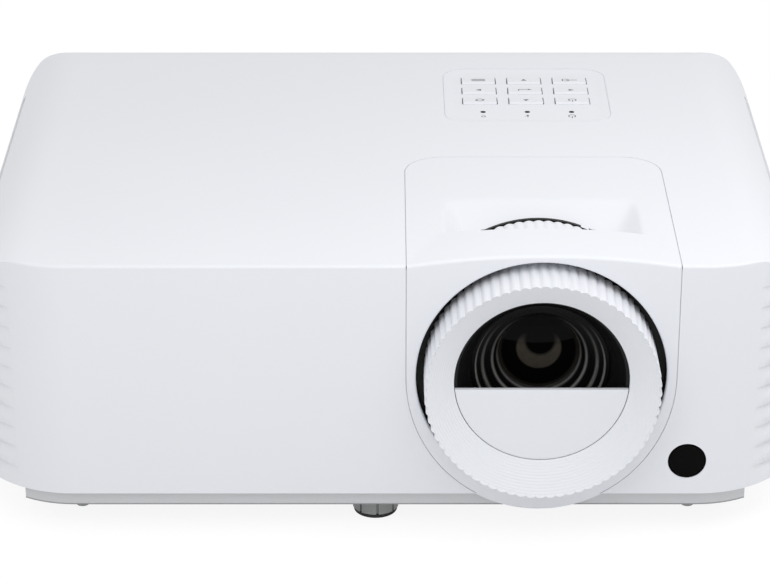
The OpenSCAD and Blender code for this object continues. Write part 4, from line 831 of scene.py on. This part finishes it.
def off_axis(start, up=0.0, right=0.0):
    """Distance in millimetres from a line beside the lens axis, and the height above the axis."""
    x, _, z = start.place().parts()
    across, high = x * (1 / MM) - (LENS_X + right), z * (1 / MM) - LENS_Z
    tall = high - up
    squares = across * across + tall * tall
    return squares.math("SQRT", squares), high


def funnel_black():
    """Black with painted highlights on the edges of its steps, which show less towards the top. Each edge has
    a radius, half a width and a strength."""
    def recipe(start):
        r, high = off_axis(start)
        glint = sum((1 - r.math("ABSOLUTE", r - at).rise(0, half)) * level for at, half, level in EDGE_GLINTS)
        share = glint * (1 - high.rise(-6, 17)) * (0.75 + start.noise(300.0) * 0.5)
        return {"Base Color": share.blend(srgb(15, 15, 16), srgb(190, 188, 184)),
                "Roughness": 0.42 + start.noise(900.0) * 0.1}
    return surface("funnel_black", recipe, **{"Specular IOR Level": 0.12})


def peg(x, y, r, low, high):
    """An upright round bar with 24 sides."""
    return prism(arc(x, y, r, 0, 345, 24), low, high)


cell_pin = peg(LENS_X, FRONT + PIN_D, PIN_R, LENS_Z - PIN_LOW, LENS_Z - PIN_HIGH)
cell = piece("front_cell", *joined([lathe(cell_profile[::-1]), cell_pin]), funnel_black())
mount(soften(cell, angle=30), "focus_cell", "black_plastic", "focus_cell")

# Front glass: a lens of 30 mm whose face bulges towards the viewer.
GLASS_R, GLASS_FRONT, GLASS_BACK, FACE_BOW, BACK_BOW = 15.2, 23.1, 26.4, 2.4, 0.9
# Painted reflection in the glass: the radii of the crescent and of its hollow, and the heights where it
# fades. Then the painted rim highlight: its radii, its heights and its share.
CRESCENT, HOLLOW, CRESCENT_TOP = (8.0, 8.7), (5.0, 6.4), (2.5, 8.0)
GLASS_RIM, RIM_TOP, RIM_GLINT_SHARE = (13.6, 14.6), (-4, 16), 0.4


def lens_glass(name, tint, gleam):
    """Coated optical glass, shown opaque: nearly black, with a painted reflection in its lower half, the
    brown crescent that the lenses behind it give back, and a painted pale highlight on its rim."""
    def recipe(start):
        r, high = off_axis(start)
        outer, _ = off_axis(start, up=1.7)
        hollow, _ = off_axis(start, up=4.8, right=0.4)
        crescent = (1 - outer.rise(*CRESCENT)) * hollow.rise(*HOLLOW) * (1 - high.rise(*CRESCENT_TOP))
        rim = r.rise(*GLASS_RIM) * (1 - high.rise(*RIM_TOP)) * RIM_GLINT_SHARE
        drift = start.noise(260.0, 1.0)
        return {"Base Color": (crescent * (0.7 + drift * 0.5) + rim).blend(tint, gleam),
                "Roughness": 0.03 + drift * 0.02}
    return surface(name, recipe, **{"IOR": 1.5, "Specular IOR Level": 0.05})


front_tint = lens_glass("front_coating", srgb(12, 11, 11), srgb(84, 79, 72))
inner_tint = lens_glass("inner_coating", srgb(34, 30, 29), srgb(80, 74, 66))


def bowed(radius, front, back, bulge, back_bulge):
    """Profile of a round glass: its face stands proud by bulge times one minus the square of
    radius over its rim's radius, and its back in the same way."""
    t = np.linspace(0, 1, 24)
    face = np.column_stack([radius * t, front - bulge * (1 - t ** 2)])
    rear = np.column_stack([radius * t[::-1], back + back_bulge * (1 - t[::-1] ** 2)])
    return np.concatenate([face, rear])


glass_profile = bowed(GLASS_R, GLASS_FRONT, GLASS_BACK, FACE_BOW, BACK_BOW)
glass = piece("front_glass", *lathe(glass_profile, 96), front_tint)
mount(soften(glass), "focus_cell", "lens_glass", "front_lens")

# ----------------------------------------
# Zoom cell, its glass and the rear glass sit deeper in the barrel. Their turned solids keep
# their shape.
refined("zoom_cell", "zoom_cell", "black_plastic", lens_black, bevel=0.2)
refined("zoom_lens", "zoom_cell", "lens_glass", inner_tint, bevel=0.15)
refined("rear_lens", ROOT, "lens_glass", inner_tint, bevel=0.15)

# ----------------------------------------
# Keypad plate: a white moulding let into the top, its rim rolled up to the cover and its
# middle a little lower, with nine key windows and three light windows.
PLATE_Z, PLATE_LOW = TOP - 0.6, TOP - SKIN - 1.6
KEY_W, KEY_D, KEY_X, KEY_Y = 13.8, 7.7, 19.0, 11.4
KEY_MID = KEYPAD_Y + 6.1
LIGHT_Y, LIGHT_X, LIGHT_R = KEY_MID - KEY_Y - KEY_D / 2 - 8.3, 18.0, 1.1
KEY_GAP_X, KEY_GAP_Y, KEY_CORNER = 0.4, 0.12, 0.45
DISH_START, DISH_WIDE, DISH_DEEP = 0.25, 4.5, 0.5
PEG_X, PEG_Y, PEG_R, PEG_LONG = 28, 24, 2, 2.9
print_grey = moulding("print_grey", srgb(84, 86, 90), 0.6, depth=0.000004)


def plate_ring(inset, z):
    """The plate's outline set in by inset, at height z."""
    return at_level(keypad_outline(-SEAM - inset), z)


dish = np.linspace(0, 1, 9)
plate_rows = [plate_ring(0, PLATE_LOW), plate_ring(0, TOP - 0.35), plate_ring(0.08, TOP - 0.14)]
plate_rows += [plate_ring(DISH_START + DISH_WIDE * t, PLATE_Z + DISH_DEEP * (1 - t * t * (3 - 2 * t)))
               for t in dish]
plate = piece("keypad_face", *capped(plate_rows), white)
carve(plate, prism(keypad_outline(3), PLATE_LOW, TOP - SKIN - 0.02), operation="UNION")
pegs = [peg(KEYPAD_X + sx * PEG_X, KEYPAD_Y + sy * PEG_Y, PEG_R, PLATE_LOW - PEG_LONG, PLATE_LOW + 0.5)
        for sx in (-1, 1) for sy in (-1, 1)]
carve(plate, joined(pegs), operation="UNION")
windows = [prism(rounded_box(KEYPAD_X + c * KEY_X, KEY_MID + r * KEY_Y, KEY_W / 2 + KEY_GAP_X,
                             KEY_D / 2 + KEY_GAP_Y, KEY_CORNER, 4), PLATE_LOW - 1, TOP + 2)
           for c in (-1, 0, 1) for r in (-1, 0, 1)]
windows += [peg(KEYPAD_X + c * LIGHT_X, LIGHT_Y, LIGHT_R + 0.05, PLATE_LOW - 1, TOP + 2)
            for c in (-1, 0, 1)]
carve(plate, joined(windows))
soften(plate, angle=35)


def stroke_path(points, width):
    """A flat band of a given width along a path of plan points, as one outline."""
    points = np.asarray(points, float)
    along = np.gradient(points, axis=0)
    along /= np.linalg.norm(along, axis=1)[:, None]
    off = np.column_stack([-along[:, 1], along[:, 0]]) * width / 2
    return np.concatenate([points + off, (points - off)[::-1]])


def box_path(x, y, w, h):
    """A small filled rectangle about x, y."""
    return np.array([(x - w / 2, y - h / 2), (x + w / 2, y - h / 2), (x + w / 2, y + h / 2),
                     (x - w / 2, y + h / 2)])


def pointer(x, y, size, turn):
    """A filled triangle about x, y that points at an angle in degrees."""
    corner = np.radians(turn + np.array([0, 125, 235]))
    return np.column_stack([x + size * np.cos(corner), y + size * np.sin(corner)])


# The prints are plain signs, turned for someone who stands behind the projector.
SIGNS = {
    "power": [stroke_path(arc(0, 0, 1.25, 125, 415, 28), 0.34), box_path(0, 1.15, 0.34, 1.5)],
    "menu": [box_path(0, y, 4.6, 0.42) for y in (-1.0, 0, 1.0)],
    "source": [stroke_path([(0.3, 1.1), (2.3, 1.1), (2.3, -1.1), (0.3, -1.1)], 0.36),
               box_path(-1.3, 0, 2.6, 0.36), pointer(0.4, 0, 0.75, 0)],
    "enter": [box_path(0.5, -0.55, 3.4, 0.36), box_path(2.05, 0.25, 0.36, 1.4),
              pointer(-1.5, -0.55, 0.8, 180)],
    "again": [stroke_path(arc(0, 0, 1.2, turn, turn + 135, 16), 0.34) for turn in (30, 210)]
             + [pointer(1.2, 0.25, 0.6, -75), pointer(-1.2, -0.25, 0.6, 105)],
    "up": [pointer(0, 0, 1.15, 90)], "down": [pointer(0, 0, 1.15, 270)],
    "left": [pointer(0, 0, 1.15, 180)], "right": [pointer(0, 0, 1.15, 0)],
    "lamp": [stroke_path(arc(0, 0.3, 0.7, -50, 230, 20), 0.26), box_path(0, -0.75, 0.8, 0.24)],
    "heat": [box_path(0, 0.3, 0.34, 1.6), box_path(0, -0.7, 0.9, 0.7), box_path(0.75, 0.7, 0.5, 0.2)],
}


def printed(sign, x, y, height, scale):
    """A sign as thin closed plates, turned half round, on a surface whose height is given."""
    solids = []
    for outline in SIGNS[sign]:
        points, faces = prism(np.array([x, y]) - outline * scale, 0, 1)
        points[:, 2] = height(points[:, 1]) + np.where(points[:, 2] > 0.5, 0.03, -0.05)
        solids.append((points, faces))
    return solids


def add_prints(made, solids):
    """Joins printed signs to a white piece, in grey. Its finishes are set anew for that."""
    made.data.materials.clear()
    made.data.materials.append(white)
    made.data.materials.append(print_grey)
    marks = piece("marks", *joined(solids))
    work = bmesh.new()
    work.from_mesh(made.data)
    first = len(work.faces)
    work.from_mesh(marks.data)
    work.faces.ensure_lookup_table()
    for face in work.faces[first:]:
        face.material_index = 1
        face.smooth = False
    work.to_mesh(made.data)
    work.free()
    discard(marks)


LABEL_Y, LABEL_SCALE = LIGHT_Y - 4.6, 1.1
labels = []
for c, sign in ((-1, "lamp"), (0, "heat"), (1, "power")):
    labels += printed(sign, KEYPAD_X + c * LIGHT_X, LABEL_Y, lambda y: PLATE_Z, LABEL_SCALE)
add_prints(plate, labels)
mount(plate, ROOT, "cover_white", "keypad_plate")

# ----------------------------------------
# Keys: nine white wedges that rise towards the front, with a rounded front edge and a lip
# that catches under the plate. Small domes on the keypad board push them back up.
KEY_RISE, KEY_BEVEL, KEY_EDGE, KEY_LIP, KEY_SIGN_SCALE = 0.8, 0.9, 0.25, 0.8, 1.25
KEY_BOTTOM = PLATE_LOW - 1.05
KEYS = [("key_menu", -1, 1, "menu"), ("key_up", 0, 1, "down"), ("key_info", 1, 1, "source"),
        ("key_left", -1, 0, "right"), ("key_enter", 0, 0, "enter"), ("key_right", 1, 0, "left"),
        ("key_sync", -1, -1, "again"), ("key_down", 0, -1, "up"), ("key_power", 1, -1, "power")]


def key_top(y):
    """Height of a key's sloped face, y being the distance behind its middle."""
    run_y = KEY_D - KEY_BEVEL
    return PLATE_Z + 0.1 + (KEY_RISE - 0.1) * (KEY_D / 2 - y) / run_y


bend = np.radians(np.linspace(90, 180, 6))
nose = np.column_stack([-KEY_D / 2 + KEY_BEVEL + KEY_BEVEL * np.cos(bend),
                        PLATE_Z + KEY_RISE - KEY_BEVEL + KEY_BEVEL * np.sin(bend)])
side_line = np.concatenate([[(KEY_D / 2, KEY_BOTTOM), (KEY_D / 2, PLATE_Z - 0.1),
                             (KEY_D / 2 - KEY_EDGE, PLATE_Z + 0.13)], nose, [(-KEY_D / 2, KEY_BOTTOM)]])
half_rows = ((KEY_W / 2, KEY_EDGE), (KEY_W / 2 - 0.08, 0.08), (KEY_W / 2 - KEY_EDGE, 0))
for name, column, row, sign in KEYS:
    x0, y0 = KEYPAD_X + column * KEY_X, KEY_MID + row * KEY_Y
    key_rows = []
    for x, pull in [(-x, pull) for x, pull in half_rows] + list(half_rows[::-1]):
        z = np.where(side_line[:, 1] > PLATE_Z - 0.2, side_line[:, 1] - pull, side_line[:, 1])
        key_rows.append(at_level(np.column_stack([y0 + side_line[:, 0], z]), x0 + x, "x"))
    cap = piece(name + "_cap", *capped(key_rows), white)
    carve(cap, bar(x0 - KEY_W / 2 - KEY_LIP, x0 + KEY_W / 2 + KEY_LIP, y0 - KEY_D / 2 - KEY_LIP,
                   y0 + KEY_D / 2 + KEY_LIP, KEY_BOTTOM, KEY_BOTTOM + 1), operation="UNION")
    soften(cap, angle=30)
    add_prints(cap, printed(sign, x0, y0 - 0.2, lambda y: key_top(y - y0), KEY_SIGN_SCALE))
    mount(cap, name, "cover_white", name)

# Status lights: three light pipes that end in small dark windows in front of the keys.
window_black = moulding("window_black", srgb(12, 11, 11), 0.12, depth=0.000002, blotch=0.05,
                        level=0.03)
pipe_line = [(AXIS, PLATE_LOW - 3.0), (LIGHT_R, PLATE_LOW - 3.0), (LIGHT_R, PLATE_Z - 0.1),
             (LIGHT_R - 0.15, PLATE_Z + 0.02), (0.5, PLATE_Z + 0.08), (AXIS, PLATE_Z + 0.1)]


def spun(profile, x, y):
    """A closed profile of radius and height, turned about an upright axis in 32 steps."""
    profile = np.asarray(profile, float)
    turn = np.linspace(0, 2 * math.pi, 32, endpoint=False)[None, :]
    r, z = profile[:, :1], profile[:, 1:]
    points = np.stack([x + r * np.cos(turn), y + r * np.sin(turn), z + 0 * turn], -1)
    return points.reshape(-1, 3), grid_faces(len(profile), 32, True, True)


lights = piece("light_pipes", *joined([spun(pipe_line, KEYPAD_X + c * LIGHT_X, LIGHT_Y)
                                       for c in (-1, 0, 1)]), window_black)
mount(soften(lights), ROOT, "dark_window", "status_lights")

# ----------------------------------------
# Infrared window: a dark glossy disc pressed in from inside, with a fine bright step
# round its edge, and the receiver board behind it.
ir_line = [(AXIS, -0.05), (3.0, -0.02), (5.6, 0.1), (6.35, 0.2), (6.5, 0.45), (6.75, 0.45),
           (6.9, 0.12), (7.08, 0.3), (IR_R, 0.5), (IR_R, 2.8), (IR_R + 1.5, 2.8), (IR_R + 1.5, 4.0),
           (AXIS, 4.0)]
eye = piece("infrared_disc", *lathe(ir_line, 72, centre=(IR_X, IR_Z)), window_black)
mount(soften(eye, angle=25), ROOT, "dark_window", "ir_window")

# ----------------------------------------
# Boards: green glass-fibre sheets with a pattern of copper tracks under the lacquer. What
# stands on them is dark or silver.


def circuit(name, face_z):
    """Green lacquer with fine square tracks up to the board's face, and parts above it in a
    random choice of dark and metal finishes for each of the cells that they stand in."""
    def recipe(start):
        place = start.place()
        above = place.parts()[2].over((face_z + 0.12) * MM)
        tracks = start.node("TexBrick", {"offset": 0.37, "squash": 1.6}, {
            "Vector": place, "Scale": 190.0, "Mortar Size": 0.035, "Color1": (0, 0, 0, 1),
            "Color2": (0.1, 0.1, 0.1, 1), "Mortar": (1, 1, 1, 1)}, out="Color")
        bare = tracks.blend(srgb(14, 74, 46), srgb(44, 112, 72))
        cells = start.node("TexVoronoi", None, {"Vector": place, "Scale": 55.0}, out="Color")
        pick = cells.parts()[0]
        kit = pick.node("ValToRGB", {"stops": [(0.0, srgb(24, 24, 26)), (0.5, srgb(40, 40, 44)),
                                               (0.6, srgb(120, 96, 50)), (1.0, srgb(30, 34, 40))]},
                        {"Fac": pick})
        fine = start.noise(900.0)
        return {"Base Color": above.blend(bare, kit), "Roughness": 0.32 + above * 0.2 + fine * 0.08,
                "Normal": (tracks.parts()[0] + fine * 0.2).bump(0.00002, 0.6)}
    return surface(name, recipe)


FLOOR_Z, NO_PARTS = 12.3, 500
refined("keypad_board", ROOT, "board", circuit("keypad_circuit", PLATE_LOW - 3.0), bevel=0.1)
refined("main_board", ROOT, "board", circuit("main_circuit", FLOOR_Z + 19.3), bevel=0.15)
refined("power_board", ROOT, "board", circuit("power_circuit", FLOOR_Z + 11.3), bevel=0.3)
refined("chip_board", ROOT, "board", circuit("chip_circuit", NO_PARTS), bevel=0.1)
refined("ir_receiver", ROOT, "board", circuit("receiver_circuit", NO_PARTS), bevel=0.1)

# ----------------------------------------
# Light engine: a cast housing with its cover, the prism pair, the light rod, the colour
# wheel on its motor, and the laser module with its heat sink and pipes.


def metal(name, colour, rough, along=None, scale=1600.0):
    """Bare metal: fine marks drawn out along one axis, or a casting's even grain."""
    def recipe(start):
        stretch = [scale, scale, scale]
        if along is not None:
            stretch[along] *= 0.02
        marks = start.node("TexNoise", None, {
            "Vector": start.node("Mapping", None, {"Vector": start.place(), "Scale": stretch}),
            "Scale": 1.0, "Detail": 3.0})
        broad = start.noise(25.0)
        return {"Base Color": broad.blend(shaded(colour, -0.06), shaded(colour, 0.05)),
                "Roughness": rough + (marks - 0.5) * 0.22, "Normal": marks.bump(0.00001, 0.5)}
    return surface(name, recipe, Metallic=1.0)


castings = metal("die_casting", srgb(186, 188, 192), 0.45, scale=700.0)
milled = metal("milled_aluminium", srgb(200, 202, 206), 0.32, 2)
for node, rounding in (("engine_housing", 0.6), ("engine_cover", 0.3), ("lens_mount", 0.4),
                       ("wheel_motor", 0.3)):
    refined(node, ROOT, "aluminium", castings, bevel=rounding)
for node in ("laser_heatsink", "chip_heatsink"):
    refined(node, ROOT, "aluminium", milled, bevel=0.15)

# The engine's glass carries the same painted crescent reflection and painted rim highlight as the lenses, in
# pale colours.
clear_glass = lens_glass("engine_glass", srgb(120, 134, 140), srgb(150, 160, 166))
for node in ("prism", "light_rod"):
    refined(node, ROOT, "lens_glass", clear_glass, bevel=0.15)

WHEEL_Y, WHEEL_Z = 17.7, 42.7


def segment_finish():
    """The wheel's coated disc: segments by the angle about its axle, each its own colour."""
    def recipe(start):
        _, y, z = start.place().parts()
        angle = start.math("ARCTAN2", z - WHEEL_Z * MM, y - WHEEL_Y * MM)
        share = angle * (0.5 / math.pi) + 0.5
        colours = [(0.0, srgb(214, 190, 70)), (0.38, srgb(206, 180, 60)), (0.40, srgb(70, 150, 90)),
                   (0.66, srgb(64, 140, 84)), (0.68, srgb(178, 70, 60)), (1.0, srgb(168, 64, 56))]
        paint = share.node("ValToRGB", {"stops": colours}, {"Fac": share})
        return {"Base Color": paint, "Roughness": 0.12 + start.noise(300.0) * 0.06}
    return surface("wheel_segments", recipe, Metallic=0.6)


refined("colour_wheel", "colour_wheel", "wheel", segment_finish(), bevel=0.1)
refined("laser_module", ROOT, "black_plastic", black, bevel=0.6)
copper = metal("drawn_copper", srgb(196, 124, 84), 0.28, 0)
refined("heat_pipes", ROOT, "copper", copper, bevel=0.5)

# ----------------------------------------
# Cooling: an intake fan behind the right louvres and an exhaust fan behind the left ones,
# each with a slotted guard plate between it and the side wall.
fan_black = moulding("fan_black", srgb(34, 34, 37), 0.38, blotch=0.06)
for side in ("intake", "exhaust"):
    refined(side + "_fan_frame", ROOT, "black_plastic", black, bevel=0.4)
    refined(side + "_fan_rotor", side + "_rotor", "fan_plastic", fan_black, bevel=0.2)
for side in ("left", "right"):
    refined(side + "_side_guard", ROOT, "black_plastic", black, bevel=0.3)

# ----------------------------------------
# Back: a white panel round the sockets, the plated socket shells, the black mains inlet
# with its three pins, and the speaker behind its slots.
refined("rear_panel", ROOT, "cover_white", white, bevel=0.25)
plated = metal("plated_shell", srgb(176, 177, 180), 0.28, 1)
refined("av_sockets", ROOT, "socket_metal", plated, bevel=0.15)
refined("mains_inlet", ROOT, "black_plastic", black, bevel=0.3)
refined("speaker", ROOT, "black_plastic", black, bevel=0.5)

# ----------------------------------------
# Feet: a grooved grey grip on a threaded stud, with a rubber pad that stays still while
# the grip turns. Brass nuts in the base take the studs.
foot_grey = moulding("foot_grey", srgb(150, 152, 152), 0.42, blotch=0.04)
rubber = moulding("dark_rubber", srgb(52, 52, 53), 0.8, grain=0.0004, depth=0.00002, blotch=0.08,
                  level=0.3)
for spot in ("front", "left", "right"):
    refined(spot + "_foot_knob", spot + "_knob", "foot_grey", foot_grey, bevel=0.25)
    refined(spot + "_foot_pad", spot + "_pad", "rubber", rubber, bevel=0.35)
machined = metal("machined_brass", srgb(196, 164, 92), 0.3, 2)
for node in ("foot_nuts", "mounting_inserts"):
    refined(node, ROOT, "brass", machined, bevel=0.15)
steel = metal("screw_steel", srgb(170, 171, 174), 0.35, 2)
refined("case_screws", ROOT, "screw_steel", steel, bevel=0.12)
